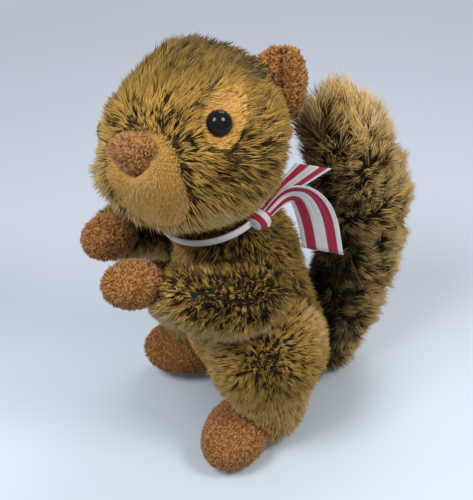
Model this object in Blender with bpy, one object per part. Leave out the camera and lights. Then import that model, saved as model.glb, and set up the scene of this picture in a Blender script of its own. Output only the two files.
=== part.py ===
"""Sitting plush squirrel with a striped ribbon tied round its neck.

Frame: +Z up, metres. The squirrel faces -Y and its left side is +X. The floor is z = 0 and the
origin is on the floor, in the middle of the flat seat under the torso. Each stuffed piece is the
envelope of its pile, so the pile itself is no part of these solids.
"""

import math

import bmesh
import bpy
import numpy as np
from mathutils import Matrix, Vector

# Facets: cells along each side of the blown-up cube that a stuffed form starts from
HEAD_CELLS = 9
TORSO_CELLS = 7
LEG_CELLS = 6
FOOT_CELLS = 5
PAW_CELLS = 4
EAR_CELLS = 5
NOSE_CELLS = 4
ROUND_SIDES = 12
WASHER_SIDES = 8
BAND_STEPS = 22
KNOT_CELLS = 3

# Clearance between pieces that are sewn or pressed together
SEAM_GAP = 0.0003
FLOOR = 0.0
HEART = (0.0, 0.0, 0.0)

# Head: it is turned to its left, nods up and tilts over to its right
HEAD_CENTRE = (0.0, -0.0515, 0.2200)
HEAD_TURN = math.radians(24)
HEAD_NOD = math.radians(14)
HEAD_TILT = math.radians(18)
SKULL_RADII = (0.0545, 0.0520, 0.0530)
CHEEK_PLACE = (0.0230, -0.0150, -0.0140)
CHEEK_RADII = (0.0310, 0.0320, 0.0310)
SNOUT_PLACE = (0.0, -0.0360, -0.0140)
SNOUT_RADII = (0.0250, 0.0250, 0.0225)
CHIN_PLACE = (0.0, -0.0250, -0.0320)
CHIN_RADII = (0.0230, 0.0210, 0.0165)
BROW_PLACE = (0.0, -0.0240, 0.0180)
BROW_RADII = (0.0300, 0.0260, 0.0190)
HEAD_BLEND = 0.012

# Short pile panels let into the long pile
PANEL_DEPTH = 0.0033
PANEL_DROP = 0.0012
EYE_PATCH_DROP = 0.0036
MUZZLE_HALF_WIDTH = 0.0245
MUZZLE_TOP = 0.0100
MUZZLE_BOTTOM = -0.0440
EYE_PATCH_LENGTH = 0.0330
EYE_PATCH_WIDTH = 0.0205
EYE_PATCH_LEAN = math.radians(32)
EYE_PATCH_SHIFT = 0.0030
BELLY_HALF_WIDTH = 0.0220
BELLY_TOP = 0.1500
BELLY_BOTTOM = 0.0180
MUZZLE_REACH = (-0.1000, -0.0120)
BELLY_REACH = (-0.1200, -0.0250)

# Nose
NOSE_PLACE = (0.0, -0.0575, 0.0012)
NOSE_RADII = (0.0138, 0.0065, 0.0095)
NOSE_TIP_PLACE = (0.0, -0.0565, -0.0070)
NOSE_TIP_RADII = (0.0070, 0.0062, 0.0085)

# Eyes with their shanks and locking washers
EYE_TURN = math.radians(52)
EYE_LIFT = math.radians(9)
EYE_RADIUS = 0.0067
EYE_DOME = 0.0050
EYE_RIM = 0.0010
EYE_SINK = 0.0006
SHANK_RADIUS = 0.0021
SHANK_LENGTH = 0.0120
WASHER_RADIUS = 0.0062
WASHER_THICKNESS = 0.0016
WASHER_DEPTH = 0.0080

# Ears
EAR_TURN = math.radians(121)
EAR_LIFT = math.radians(10)
EAR_RISE = math.radians(92)
EAR_FACING = math.radians(30)
EAR_WIDTH = 0.0410
EAR_HEIGHT = 0.0470
EAR_THICKNESS = 0.0108
EAR_BEND = math.radians(240)
EAR_ROOT = 0.0150
EAR_STANDOFF = 0.0

# Torso
CHEST_CENTRE = (0.0, -0.0240, 0.1240)
CHEST_RADII = (0.0420, 0.0440, 0.0460)
BELLY_CENTRE = (0.0, -0.0140, 0.0740)
BELLY_RADII = (0.0450, 0.0460, 0.0500)
RUMP_CENTRE = (0.0, 0.0060, 0.0370)
RUMP_RADII = (0.0430, 0.0400, 0.0440)
TORSO_BLEND = 0.020
TORSO_HEART = (0.0, -0.0030, 0.0740)

# Legs and feet
THIGH_CENTRE = (0.0420, -0.0270, 0.0790)
THIGH_RADII = (0.0360, 0.0420, 0.0395)
SHIN_CENTRE = (0.0440, -0.0240, 0.0320)
SHIN_RADII = (0.0240, 0.0290, 0.0330)
LEG_BLEND = 0.014
FOOT_CENTRE = (0.0425, -0.0500, 0.0170)
FOOT_RADII = (0.0220, 0.0310, 0.0200)
FOOT_SPLAY = math.radians(32)
RIGHT_FOOT_CENTRE = (-0.0450, -0.0400, 0.0225)
RIGHT_FOOT_LIFT = 0.0060
HEEL_LIFT = 0.0005

# Arms and paws
SHOULDER = (0.0380, -0.0300, 0.1300)
ELBOW = (0.0480, -0.0520, 0.1320)
FOREARM = (0.0430, -0.0770, 0.1400)
WRIST = (0.0320, -0.0930, 0.1470)
ARM_RADII = (0.0215, 0.0225, 0.0195, 0.0160)
PAW_CENTRE = (0.0250, -0.1075, 0.1520)
PAW_RADII = (0.0145, 0.0190, 0.0145)
PAW_LIFT = math.radians(8)
PAW_TURN = math.radians(-12)
RIGHT_PAW_CENTRE = (-0.0240, -0.0990, 0.1530)

# Tail: a spine in the plane x = 0 as (y, z, radius) rows, with overlapping tufts of long pile
TAIL_SPINE = (
    (0.0400, 0.0150, 0.0230),
    (0.0540, 0.0250, 0.0260),
    (0.0660, 0.0500, 0.0290),
    (0.0770, 0.0850, 0.0300),
    (0.0790, 0.1200, 0.0320),
    (0.0730, 0.1500, 0.0330),
    (0.0620, 0.1800, 0.0300),
    (0.0530, 0.2020, 0.0220),
    (0.0500, 0.2130, 0.0080),
)
TUFT_ROWS = 9
TUFTS_AROUND = 6
TUFT_HEIGHT = 0.0045

# Ribbon: a band round the neck, a knot at its left side and two free tails. A tail's rows are its
# centre, the direction of its width and the share of the ribbon's width that shows there
RIBBON_WIDTH = 0.0240
RIBBON_THICKNESS = 0.0008
NECK_CENTRE = (0.0, -0.0400, 0.1715)
NECK_RADIUS = 0.0330
NECK_SLOPE = math.radians(19)
BAND_WIDTH = 0.0065
BAND_CLEAR = 0.0015
KNOT_TURN = math.radians(107)
KNOT_RADII = (0.0060, 0.0075, 0.0060)
KNOT_EXIT = (0.05, -0.40, 0.90)
TAIL_STEPS = 11
UPPER_TAIL = (
    (0.0355, -0.0161, 0.1893, 0.10, -0.45, 0.86, 0.50),
    (0.0365, -0.0058, 0.1945, 0.13, -0.50, 0.84, 0.83),
    (0.0380, 0.0051, 0.2002, 0.15, -0.52, 0.84, 1.00),
)
UPPER_SLANT = -0.0090
LOWER_TAIL = (
    (0.0405, -0.0174, 0.1880, 0.15, -0.38, 0.88, 0.50),
    (0.0440, -0.0092, 0.1890, 0.52, 0.00, 0.86, 0.79),
    (0.0465, -0.0032, 0.1829, 0.62, 0.30, 0.70, 0.92),
    (0.0465, 0.0035, 0.1676, 0.69, 0.60, 0.39, 1.00),
    (0.0450, 0.0104, 0.1428, 0.66, 0.72, 0.22, 1.00),
)
LOWER_SLANT = 0.0040


def clear_scene():
    for thing in list(bpy.data.objects):
        bpy.data.objects.remove(thing, do_unlink=True)


def material(name, colour, roughness, metallic=0.0):
    made = bpy.data.materials.new(name)
    made.use_nodes = True
    shader = made.node_tree.nodes["Principled BSDF"]
    shader.inputs["Base Color"].default_value = (*colour, 1.0)
    shader.inputs["Roughness"].default_value = roughness
    shader.inputs["Metallic"].default_value = metallic
    made.diffuse_color = (*colour, 1.0)
    return made


def mesh_object(name, points, faces, look=None, frame=None):
    mesh = bpy.data.meshes.new(name)
    mesh.from_pydata([tuple(p) for p in points], [], [tuple(f) for f in faces])
    if frame is not None:
        mesh.transform(frame)
    work = bmesh.new()
    work.from_mesh(mesh)
    bmesh.ops.triangulate(work, faces=work.faces[:])
    work.to_mesh(mesh)
    work.free()
    mesh.polygons.foreach_set("use_smooth", [True] * len(mesh.polygons))
    made = bpy.data.objects.new(name, mesh)
    if look is not None:
        mesh.materials.append(look)
    bpy.context.scene.collection.objects.link(made)
    return made


def mirrored(place, side):
    return (side * place[0], place[1], place[2])


def heading(turn, lift, side=1):
    """Unit vector that is turned from straight ahead (-Y) towards one side, and lifted."""
    flat = math.cos(lift)
    return Vector((side * math.sin(turn) * flat, -math.cos(turn) * flat, math.sin(lift)))


def head_frame():
    turn = Matrix.Rotation(HEAD_TURN, 4, "Z")
    nod = Matrix.Rotation(-HEAD_NOD, 4, "X")
    tilt = Matrix.Rotation(-HEAD_TILT, 4, "Y")
    return Matrix.Translation(HEAD_CENTRE) @ turn @ nod @ tilt


# Solid tools


def copied(source, name, offset=0.0):
    """A copy with every point moved along its normal, as a clearance (out) or a core (in)."""
    made = bpy.data.objects.new(name, source.data.copy())
    bpy.context.scene.collection.objects.link(made)
    normals = [v.normal.copy() for v in made.data.vertices]
    for vertex, normal in zip(made.data.vertices, normals):
        vertex.co += normal * offset
    return made


def combined(target, other, operation):
    """Boolean with the exact solver, applied at once. The other solid is used up."""
    step = target.modifiers.new("cut", "BOOLEAN")
    step.operation = operation
    step.solver = "EXACT"
    step.object = other
    bpy.context.view_layer.update()
    depsgraph = bpy.context.evaluated_depsgraph_get()
    result = bpy.data.meshes.new_from_object(target.evaluated_get(depsgraph))
    target.modifiers.clear()
    target.data = result
    bpy.data.objects.remove(other, do_unlink=True)


def cleared(targets, solid, gap=SEAM_GAP):
    """Make room for a solid in each target."""
    for target in targets:
        combined(target, copied(solid, "room", gap), "DIFFERENCE")


# Stuffed forms


def ball_grid(cells):
    """Directions and quads of a cube blown up into a ball, so that its facets are nearly even."""
    ball = bmesh.new()
    bmesh.ops.create_cube(ball, size=2.0)
    bmesh.ops.subdivide_edges(ball, edges=ball.edges[:], cuts=cells - 1, use_grid_fill=True)
    points = np.array([v.co for v in ball.verts])
    faces = [[v.index for v in f.verts] for f in ball.faces]
    ball.free()
    points = np.tan(points * math.pi / 4)
    return points / np.linalg.norm(points, axis=1, keepdims=True), faces


def lump_distance(points, centre, radii):
    offset = points - np.array(centre)
    near = np.linalg.norm(offset / np.array(radii), axis=1)
    steep = np.linalg.norm(offset / np.square(radii), axis=1)
    return near * (near - 1) / np.maximum(steep, 1e-9)


def blended(points, lumps, blend):
    """Distance to the soft union of (centre, radii) lumps, below zero inside."""
    found = np.full(len(points), np.inf)
    for centre, radii in lumps:
        distance = lump_distance(points, centre, radii)
        overlap = np.clip(1 - np.abs(np.minimum(found, 1e3) - distance) / blend, 0, 1)
        found = np.minimum(found, distance) - overlap * overlap * blend / 4
    return found


def skin_reach(heart, rays, lumps, blend):
    """How far the skin of blended lumps lies from their heart along each ray."""
    inner = np.zeros(len(rays))
    for reach in np.linspace(0.002, 0.15, 75):
        inside = blended(heart + rays * reach, lumps, blend) < 0
        inner = np.where(inside, reach, inner)
    outer = inner + 0.002
    for _ in range(18):
        middle = (inner + outer) / 2
        inside = blended(heart + rays * middle[:, None], lumps, blend) < 0
        inner = np.where(inside, middle, inner)
        outer = np.where(inside, outer, middle)
    return outer


def stuffed(name, heart, lumps, look, cells, blend=0.01, frame=None, floor=None):
    """A stuffed form with nearly even facets, flat where it meets a floor."""
    rays, faces = ball_grid(cells)
    heart = np.array(heart)
    reach = skin_reach(heart, rays, lumps, blend)
    if floor is not None:
        down = np.minimum(rays[:, 2], -1e-6)
        reach = np.minimum(reach, (floor - heart[2]) / down)
    return mesh_object(name, heart + rays * reach[:, None], faces, look, frame)


def spline(rows, count):
    """Evenly spaced rows along a smooth curve through the given rows, the first three as a place."""
    rows = np.array(rows, float)
    ends = np.vstack([2 * rows[0] - rows[1], rows, 2 * rows[-1] - rows[-2]])
    fine = []
    for before, start, stop, after in zip(ends, ends[1:], ends[2:], ends[3:]):
        for t in np.linspace(0, 1, 30, endpoint=False):
            straight = 2 * start + (stop - before) * t
            bow = (2 * before - 5 * start + 4 * stop - after) * t**2
            swing = (3 * start - before - 3 * stop + after) * t**3
            fine.append((straight + bow + swing) / 2)
    fine = np.array([*fine, rows[-1]])
    steps = np.linalg.norm(np.diff(fine[:, :3], axis=0), axis=1)
    along = np.concatenate([[0], np.cumsum(steps)])
    at = np.linspace(0, along[-1], count)
    return np.stack([np.interp(at, along, column) for column in fine.T], axis=1)


def swept(name, rows, look, sides, across=(1.0, 0.0, 0.0), relief=None):
    """A round body along a spine of (x, y, z, radius) rows, closed by one point at each end."""
    centres, radii = rows[:, :3], rows[:, 3]
    ahead = np.gradient(centres, axis=0)
    ahead /= np.linalg.norm(ahead, axis=1, keepdims=True)
    side = np.array(across) - ahead * (ahead @ np.array(across))[:, None]
    side /= np.linalg.norm(side, axis=1, keepdims=True)
    front = np.cross(ahead, side)
    last = len(centres) - 1
    points = [centres[0] - ahead[0] * radii[0] * 0.35]
    for k in range(last + 1):
        for j in range(sides):
            angle = 2 * math.pi * j / sides
            raised = 0.0 if relief is None else relief(k / last, angle)
            way = side[k] * math.cos(angle) + front[k] * math.sin(angle)
            points.append(centres[k] + way * (radii[k] + raised))
    points.append(centres[-1] + ahead[-1] * radii[-1] * 0.35)
    faces = []
    tip = len(points) - 1
    for j in range(sides):
        n = (j + 1) % sides
        faces.append((0, 1 + n, 1 + j))
        for k in range(last):
            row = 1 + k * sides
            faces.append((row + j, row + n, row + sides + n, row + sides + j))
        faces.append((tip, tip - sides + j, tip - sides + n))
    return mesh_object(name, points, faces, look)


def turned_piece(name, profile, look, sides, frame):
    """A body of revolution about the local Z axis from (radius, height) rows, ends on the axis."""
    points = [(0.0, 0.0, profile[0][1])]
    for radius, height in profile[1:-1]:
        for j in range(sides):
            angle = 2 * math.pi * j / sides
            points.append((radius * math.cos(angle), radius * math.sin(angle), height))
    points.append((0.0, 0.0, profile[-1][1]))
    faces = []
    rings = len(profile) - 2
    tip = len(points) - 1
    for j in range(sides):
        n = (j + 1) % sides
        faces.append((0, 1 + n, 1 + j))
        for k in range(rings - 1):
            row = 1 + k * sides
            faces.append((row + j, row + n, row + sides + n, row + sides + j))
        faces.append((tip, tip - sides + j, tip - sides + n))
    return mesh_object(name, points, faces, look, frame)


def turned_ring(name, profile, look, sides, frame):
    """A ring about the local Z axis from a closed loop of (radius, height) rows."""
    points = []
    for j in range(sides):
        angle = 2 * math.pi * j / sides
        for radius, height in profile:
            points.append((radius * math.cos(angle), radius * math.sin(angle), height))
    count = len(profile)
    faces = []
    for j in range(sides):
        here = j * count
        there = (j + 1) % sides * count
        for k in range(count):
            n = (k + 1) % count
            faces.append((here + k, there + k, there + n, here + n))
    made = mesh_object(name, points, faces, look, frame)
    facing_out(made)
    return made


def extruded(name, outline, near, far, look=None, frame=None):
    """A prism with an (x, z) outline, from local y = near to y = far."""
    count = len(outline)
    points = [(x, near, z) for x, z in outline] + [(x, far, z) for x, z in outline]
    faces = [tuple(range(count)), tuple(range(2 * count - 1, count - 1, -1))]
    for j in range(count):
        n = (j + 1) % count
        faces.append((j, j + count, n + count, n))
    made = mesh_object(name, points, faces, look, frame)
    facing_out(made)
    return made


def facing_out(made):
    """Turn all faces of a closed mesh outwards."""
    work = bmesh.new()
    work.from_mesh(made.data)
    bmesh.ops.recalc_face_normals(work, faces=work.faces[:])
    if work.calc_volume(signed=True) < 0:
        bmesh.ops.reverse_faces(work, faces=work.faces[:])
    work.to_mesh(made.data)
    work.free()


def let_in(host, plain, name, outline, reach, look, frame=None, drop=PANEL_DROP):
    """Swap the skin of a host inside an outline for a panel of short pile that lies lower.

    The plain copy is the host before any cut, and reach is the prism's start and end along y.
    """
    panel = copied(plain, name, -drop)
    panel.data.materials.clear()
    panel.data.materials.append(look)
    combined(panel, extruded("blade", outline, *reach, frame=frame), "INTERSECT")
    combined(panel, copied(plain, "core", -drop - PANEL_DEPTH), "DIFFERENCE")
    prism = extruded("prism", outline, *reach, frame=frame)
    pocket = copied(prism, "pocket", SEAM_GAP)
    bpy.data.objects.remove(prism, do_unlink=True)
    combined(pocket, copied(plain, "core", -drop - PANEL_DEPTH - SEAM_GAP), "DIFFERENCE")
    combined(host, pocket, "DIFFERENCE")
    return panel


def oval(half_width, half_height, middle=(0.0, 0.0), lean=0.0, squareness=2.0, count=16):
    """Outline points of a rounded oval, anticlockwise, leaning to its right."""
    points = []
    for k in range(count):
        angle = 2 * math.pi * k / count
        x = half_width * math.copysign(abs(math.cos(angle)) ** (2 / squareness), math.cos(angle))
        z = half_height * math.copysign(abs(math.sin(angle)) ** (2 / squareness), math.sin(angle))
        across = x * math.cos(lean) + z * math.sin(lean)
        up = z * math.cos(lean) - x * math.sin(lean)
        points.append((middle[0] + across, middle[1] + up))
    return points


def head_lumps():
    lumps = [(HEART, SKULL_RADII)]
    lumps.append((SNOUT_PLACE, SNOUT_RADII))
    lumps.append((CHIN_PLACE, CHIN_RADII))
    lumps.append((BROW_PLACE, BROW_RADII))
    for side in (-1, 1):
        lumps.append((mirrored(CHEEK_PLACE, side), CHEEK_RADII))
    return lumps


def build_ear(looks, side, name, head, lumps):
    """A soft pad folded round so that its two lobes meet in a crease, rooted in the head."""
    half = (EAR_WIDTH * 0.28, EAR_THICKNESS / 2, EAR_HEIGHT / 2)
    lobe = EAR_WIDTH / 2 - half[0]
    pad = [(HEART, (lobe, EAR_THICKNESS * 0.42, EAR_HEIGHT * 0.47))]
    for way in (-1, 1):
        pad.append(((way * lobe, 0.0, 0.0), half))
    ear = stuffed(name, HEART, pad, looks["terry"], EAR_CELLS)
    bow = EAR_WIDTH / EAR_BEND
    for vertex in ear.data.vertices:
        x, y, z = vertex.co
        angle = x / bow
        vertex.co = ((bow + y) * math.sin(angle), bow - (bow + y) * math.cos(angle) - bow, z)
    outwards = heading(EAR_TURN, EAR_LIFT, side)
    reach = skin_reach(np.zeros(3), np.array([outwards]), lumps, HEAD_BLEND)[0]
    up = heading(EAR_TURN, EAR_RISE, side)
    across = heading(EAR_FACING, 0.0, side).cross(up).normalized()
    stand = Matrix((across, up.cross(across), up)).transposed().to_4x4()
    place = outwards * (reach + EAR_STANDOFF) + up * (EAR_HEIGHT / 2 - EAR_ROOT)
    ear.data.transform(head_frame() @ Matrix.Translation(place) @ stand)
    facing_out(ear)
    cleared([ear], head)
    return ear


def build_head(looks):
    frame = head_frame()
    lumps = head_lumps()
    head = stuffed("head", HEART, lumps, looks["fur"], HEAD_CELLS, HEAD_BLEND, frame)
    plain = copied(head, "plain_head")
    middle = (MUZZLE_TOP + MUZZLE_BOTTOM) / 2
    outline = oval(MUZZLE_HALF_WIDTH, MUZZLE_TOP - middle, (0.0, middle), squareness=2.6)
    name = "muzzle_panel"
    muzzle = let_in(head, plain, name, outline, MUZZLE_REACH, looks["short"], frame)
    nose_lumps = [(NOSE_PLACE, NOSE_RADII), (NOSE_TIP_PLACE, NOSE_TIP_RADII)]
    nose = stuffed("nose", NOSE_PLACE, nose_lumps, looks["terry"], NOSE_CELLS, 0.006, frame)
    cleared([head, muzzle], nose)
    for side, word in ((-1, "right"), (1, "left")):
        build_ear(looks, side, "ear_" + word, plain, lumps)
        build_eye(looks, side, word, head, plain, lumps)
    return head, muzzle, plain


def build_eye(looks, side, word, head, plain, lumps):
    """A short pile patch, and a domed eye whose shank goes through it to a locking washer."""
    way = np.array([heading(EYE_TURN, EYE_LIFT, side)])
    reach = skin_reach(np.zeros(3), way, lumps, HEAD_BLEND)[0] - EYE_PATCH_DROP
    out = Matrix.Rotation(side * EYE_TURN, 4, "Z") @ Matrix.Rotation(-EYE_LIFT, 4, "X")
    frame = head_frame() @ out
    centre = (side * EYE_PATCH_SHIFT, EYE_PATCH_SHIFT)
    outline = oval(EYE_PATCH_WIDTH / 2, EYE_PATCH_LENGTH / 2, centre, side * EYE_PATCH_LEAN)
    depth = (-reach - EYE_PATCH_WIDTH, -reach + EYE_PATCH_WIDTH)
    name = "eye_patch_" + word
    patch = let_in(head, plain, name, outline, depth, looks["short"], frame, EYE_PATCH_DROP)
    seat = Matrix.Translation((0.0, EYE_SINK - reach, 0.0))
    outwards = frame @ seat @ Matrix.Rotation(math.radians(90), 4, "X")
    dome = []
    for k in range(4):
        angle = math.radians(90) * k / 4
        dome.append((EYE_RADIUS * math.cos(angle), EYE_DOME * math.sin(angle)))
    profile = [
        (0.0, -SHANK_LENGTH),
        (SHANK_RADIUS, -SHANK_LENGTH),
        (SHANK_RADIUS, -EYE_RIM),
        (EYE_RADIUS, -EYE_RIM),
        *dome,
        (0.0, EYE_DOME),
    ]
    eye = turned_piece("eye_" + word, profile, looks["black"], ROUND_SIDES, outwards)
    cleared([head, patch], eye)
    low = -WASHER_DEPTH - WASHER_THICKNESS
    high = -WASHER_DEPTH
    hole = SHANK_RADIUS + SEAM_GAP
    ring = [(hole, low), (WASHER_RADIUS, low), (WASHER_RADIUS, high), (hole, high)]
    turned_ring("eye_washer_" + word, ring, looks["white"], WASHER_SIDES, outwards)
    wide = WASHER_RADIUS + SEAM_GAP
    low -= SEAM_GAP
    high += SEAM_GAP
    pocket = [(0.0, low), (wide, low), (wide, high), (0.0, high)]
    combined(head, turned_piece("pocket", pocket, None, WASHER_SIDES, outwards), "DIFFERENCE")


def build_torso(looks):
    lumps = [(RUMP_CENTRE, RUMP_RADII), (BELLY_CENTRE, BELLY_RADII), (CHEST_CENTRE, CHEST_RADII)]
    neck = (NECK_RADIUS - BAND_CLEAR, NECK_RADIUS - BAND_CLEAR, NECK_RADIUS * 0.7)
    lumps.append((NECK_CENTRE, neck))
    torso = stuffed("torso", TORSO_HEART, lumps, looks["fur"], TORSO_CELLS, TORSO_BLEND, floor=FLOOR)
    plain = copied(torso, "plain_torso")
    middle = (BELLY_TOP + BELLY_BOTTOM) / 2
    outline = oval(BELLY_HALF_WIDTH, BELLY_TOP - middle, (0.0, middle), squareness=2.3)
    belly = let_in(torso, plain, "belly_panel", outline, BELLY_REACH, looks["short"])
    return torso, belly, plain


def build_arm(looks, side, word, torso, head):
    places = (SHOULDER, ELBOW, FOREARM, WRIST)
    rows = [(*mirrored(place, side), radius) for place, radius in zip(places, ARM_RADII)]
    arm = swept("arm_" + word, spline(rows, 8), looks["fur"], 14)
    lift = Matrix.Rotation(-PAW_LIFT, 4, "X")
    turn = Matrix.Rotation(side * PAW_TURN, 4, "Z")
    centre = PAW_CENTRE if side > 0 else RIGHT_PAW_CENTRE
    frame = Matrix.Translation(centre) @ turn @ lift
    lumps = [(HEART, PAW_RADII)]
    paw = stuffed("paw_" + word, HEART, lumps, looks["terry"], PAW_CELLS, frame=frame)
    plain = copied(arm, "plain_arm")
    cleared([arm], paw)
    cleared([arm], torso)
    cleared([arm, paw], head)
    return arm, paw, plain


def build_leg(looks, side, word, torso):
    thigh = mirrored(THIGH_CENTRE, side)
    lumps = [(thigh, THIGH_RADII), (mirrored(SHIN_CENTRE, side), SHIN_RADII)]
    heel = FLOOR + HEEL_LIFT
    leg = stuffed("leg_" + word, thigh, lumps, looks["fur"], LEG_CELLS, LEG_BLEND, floor=heel)
    centre = FOOT_CENTRE if side > 0 else RIGHT_FOOT_CENTRE
    sole = FLOOR - centre[2] if side > 0 else FLOOR + RIGHT_FOOT_LIFT - centre[2]
    spin = Matrix.Translation(centre) @ Matrix.Rotation(side * FOOT_SPLAY, 4, "Z")
    lumps = [((0.0, 0.0, 0.0), FOOT_RADII)]
    name = "foot_" + word
    foot = stuffed(name, HEART, lumps, looks["terry"], FOOT_CELLS, frame=spin, floor=sole)
    cleared([leg], foot)
    cleared([leg, foot], torso)
    return leg, foot


def tuft(share, angle):
    """Height of the overlapping tufts of the tail: each rises to its tip and drops to the next."""
    row = math.floor(share * TUFT_ROWS)
    rise = share * TUFT_ROWS - row
    crest = 0.5 + 0.5 * math.cos(angle * TUFTS_AROUND + math.pi * (row % 2))
    return TUFT_HEIGHT * (rise * (0.35 + 0.65 * crest) - 0.4)


def build_tail(looks, torso, legs):
    rows = spline([(0.0, *row) for row in TAIL_SPINE], 3 * TUFT_ROWS + 1)
    tail = swept("tail", rows, looks["long"], 3 * TUFTS_AROUND, relief=tuft)
    for vertex in tail.data.vertices:
        vertex.co.z = max(vertex.co.z, FLOOR)
    cleared([tail], torso)
    for leg in legs:
        cleared([tail], leg)
    return tail


def strip(name, centres, widths, halves, look, loop=False, slant=0.0, columns=3):
    """A flat band of cloth along its centres, with a unit vector and a half width for each."""
    centres = np.array(centres)
    widths = np.array(widths)
    count = len(centres)
    if loop:
        ahead = np.roll(centres, -1, axis=0) - np.roll(centres, 1, axis=0)
    else:
        ahead = np.gradient(centres, axis=0)
    ahead /= np.linalg.norm(ahead, axis=1, keepdims=True)
    widths = widths - ahead * np.sum(ahead * widths, axis=1, keepdims=True)
    widths /= np.linalg.norm(widths, axis=1, keepdims=True)
    normals = np.cross(ahead, widths)
    points = []
    for k in range(count):
        for face in (0.5, -0.5):
            for j in range(columns + 1):
                share = 2 * j / columns - 1
                share = share if face > 0 else -share
                place = centres[k] + widths[k] * halves[k] * share
                place = place + normals[k] * RIBBON_THICKNESS * face
                if not loop and k == count - 1:
                    place = place + ahead[k] * slant * share
                points.append(place)
    ring = 2 * (columns + 1)
    faces = []
    for k in range(count if loop else count - 1):
        row = k * ring
        following = (k + 1) % count * ring
        for j in range(ring):
            n = (j + 1) % ring
            faces.append((row + j, row + n, following + n, following + j))
    if not loop:
        faces.append(tuple(range(ring - 1, -1, -1)))
        faces.append(tuple((count - 1) * ring + j for j in range(ring)))
    made = mesh_object(name, points, faces, look)
    facing_out(made)
    return made


def build_ribbon(looks):
    """One cut length of ribbon: a gathered band round the neck, a knot and two free tails."""
    slope = Matrix.Rotation(NECK_SLOPE, 3, "X")
    centres = []
    widths = []
    for k in range(BAND_STEPS):
        angle = 2 * math.pi * k / BAND_STEPS
        around = Vector((math.cos(angle), math.sin(angle), 0.0)) * (NECK_RADIUS + RIBBON_THICKNESS)
        centres.append(Vector(NECK_CENTRE) + slope @ around)
        widths.append(slope @ Vector((0.0, 0.0, 1.0)))
    halves = [BAND_WIDTH / 2] * BAND_STEPS
    look = looks["ribbon"]
    ribbon = strip("neck_ribbon", centres, widths, halves, look, loop=True, columns=1)
    reach = NECK_RADIUS + KNOT_RADII[1] / 2
    knot_place = Vector(NECK_CENTRE) + slope @ heading(KNOT_TURN, 0.0) * reach
    knot = stuffed("knot", knot_place, [(tuple(knot_place), KNOT_RADII)], look, KNOT_CELLS)
    combined(ribbon, knot, "UNION")
    for path, slant, out in ((UPPER_TAIL, UPPER_SLANT, -1), (LOWER_TAIL, LOWER_SLANT, 1)):
        start = knot_place + Vector((KNOT_RADII[0] / 4 * out, 0.0, 0.0))
        rows = spline([(*start, *KNOT_EXIT, KNOT_RADII[2] / RIBBON_WIDTH), *path], TAIL_STEPS)
        halves = rows[:, 6] * RIBBON_WIDTH / 2
        tail = strip("tail_end", rows[:, :3], rows[:, 3:6], halves, look, slant=slant)
        combined(ribbon, tail, "UNION")
    return ribbon


def main():
    clear_scene()
    looks = {
        "fur": material("golden_brown_pile", (0.33, 0.22, 0.09), 0.95),
        "long": material("dark_long_pile", (0.16, 0.11, 0.05), 0.95),
        "short": material("short_golden_pile", (0.55, 0.36, 0.16), 0.95),
        "terry": material("brown_terry", (0.33, 0.14, 0.06), 0.95),
        "black": material("black_plastic", (0.01, 0.01, 0.01), 0.08),
        "white": material("clear_plastic", (0.75, 0.75, 0.72), 0.4),
        "ribbon": material("striped_ribbon", (0.80, 0.50, 0.55), 0.6),
    }
    head, muzzle, plain_head = build_head(looks)
    torso, belly, plain_torso = build_torso(looks)
    cleared([torso, belly], plain_head)
    arms = []
    legs = []
    guides = [plain_head, plain_torso]
    for side, word in ((-1, "right"), (1, "left")):
        arms.append(build_arm(looks, side, word, plain_torso, plain_head))
        legs.append(build_leg(looks, side, word, plain_torso))
        guides.append(arms[-1][2])
        cleared([legs[-1][0]], guides[-1])
    tail = build_tail(looks, plain_torso, [leg for leg, foot in legs])
    ribbon = build_ribbon(looks)
    cleared([head, muzzle, torso, belly, tail], ribbon)
    for guide in guides:
        bpy.data.objects.remove(guide, do_unlink=True)


main()
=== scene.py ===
import math

import bmesh
import bpy
import numpy as np
from mathutils import Matrix, Vector
from mathutils.bvhtree import BVHTree
from mathutils.kdtree import KDTree


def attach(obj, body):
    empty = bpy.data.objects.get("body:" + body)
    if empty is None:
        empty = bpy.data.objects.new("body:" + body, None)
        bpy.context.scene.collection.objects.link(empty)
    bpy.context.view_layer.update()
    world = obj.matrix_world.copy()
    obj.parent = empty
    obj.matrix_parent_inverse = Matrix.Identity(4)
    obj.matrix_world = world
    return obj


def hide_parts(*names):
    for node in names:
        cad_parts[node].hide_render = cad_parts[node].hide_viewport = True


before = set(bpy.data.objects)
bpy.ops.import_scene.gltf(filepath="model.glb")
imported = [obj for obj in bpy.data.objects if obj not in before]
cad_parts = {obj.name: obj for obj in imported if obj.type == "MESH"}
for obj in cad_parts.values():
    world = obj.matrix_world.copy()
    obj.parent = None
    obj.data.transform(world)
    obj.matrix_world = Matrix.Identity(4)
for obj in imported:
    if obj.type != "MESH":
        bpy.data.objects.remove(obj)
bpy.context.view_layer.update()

bl_info = {
    "name": "Plush squirrel",
    "version": (1, 0, 0),
    "blender": (4, 5, 0),
    "location": "View3D > Sidebar > Squirrel",
    "description": "Dresses the solids of a sitting plush squirrel in pile, terry, ribbon and eyes",
    "category": "Object",
}

BODY = "root"
MAP = "OFBake"

# The head's own frame, as in the part's source: centre, turn to its left, nod and tilt
HEAD_CENTRE = Vector((0.0, -0.0515, 0.2200))
HEAD_TURN = math.radians(24)
HEAD_NOD = math.radians(14)
HEAD_TILT = math.radians(18)

# Camera: where it stands, what it looks along and its lens, for a frame of 473 by 500
CAMERA_AT = (0.38346, -0.26320, 0.44608)
CAMERA_TURN = math.radians(58)
CAMERA_DROP = math.radians(35)
CAMERA_LENS = 62.42

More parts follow.
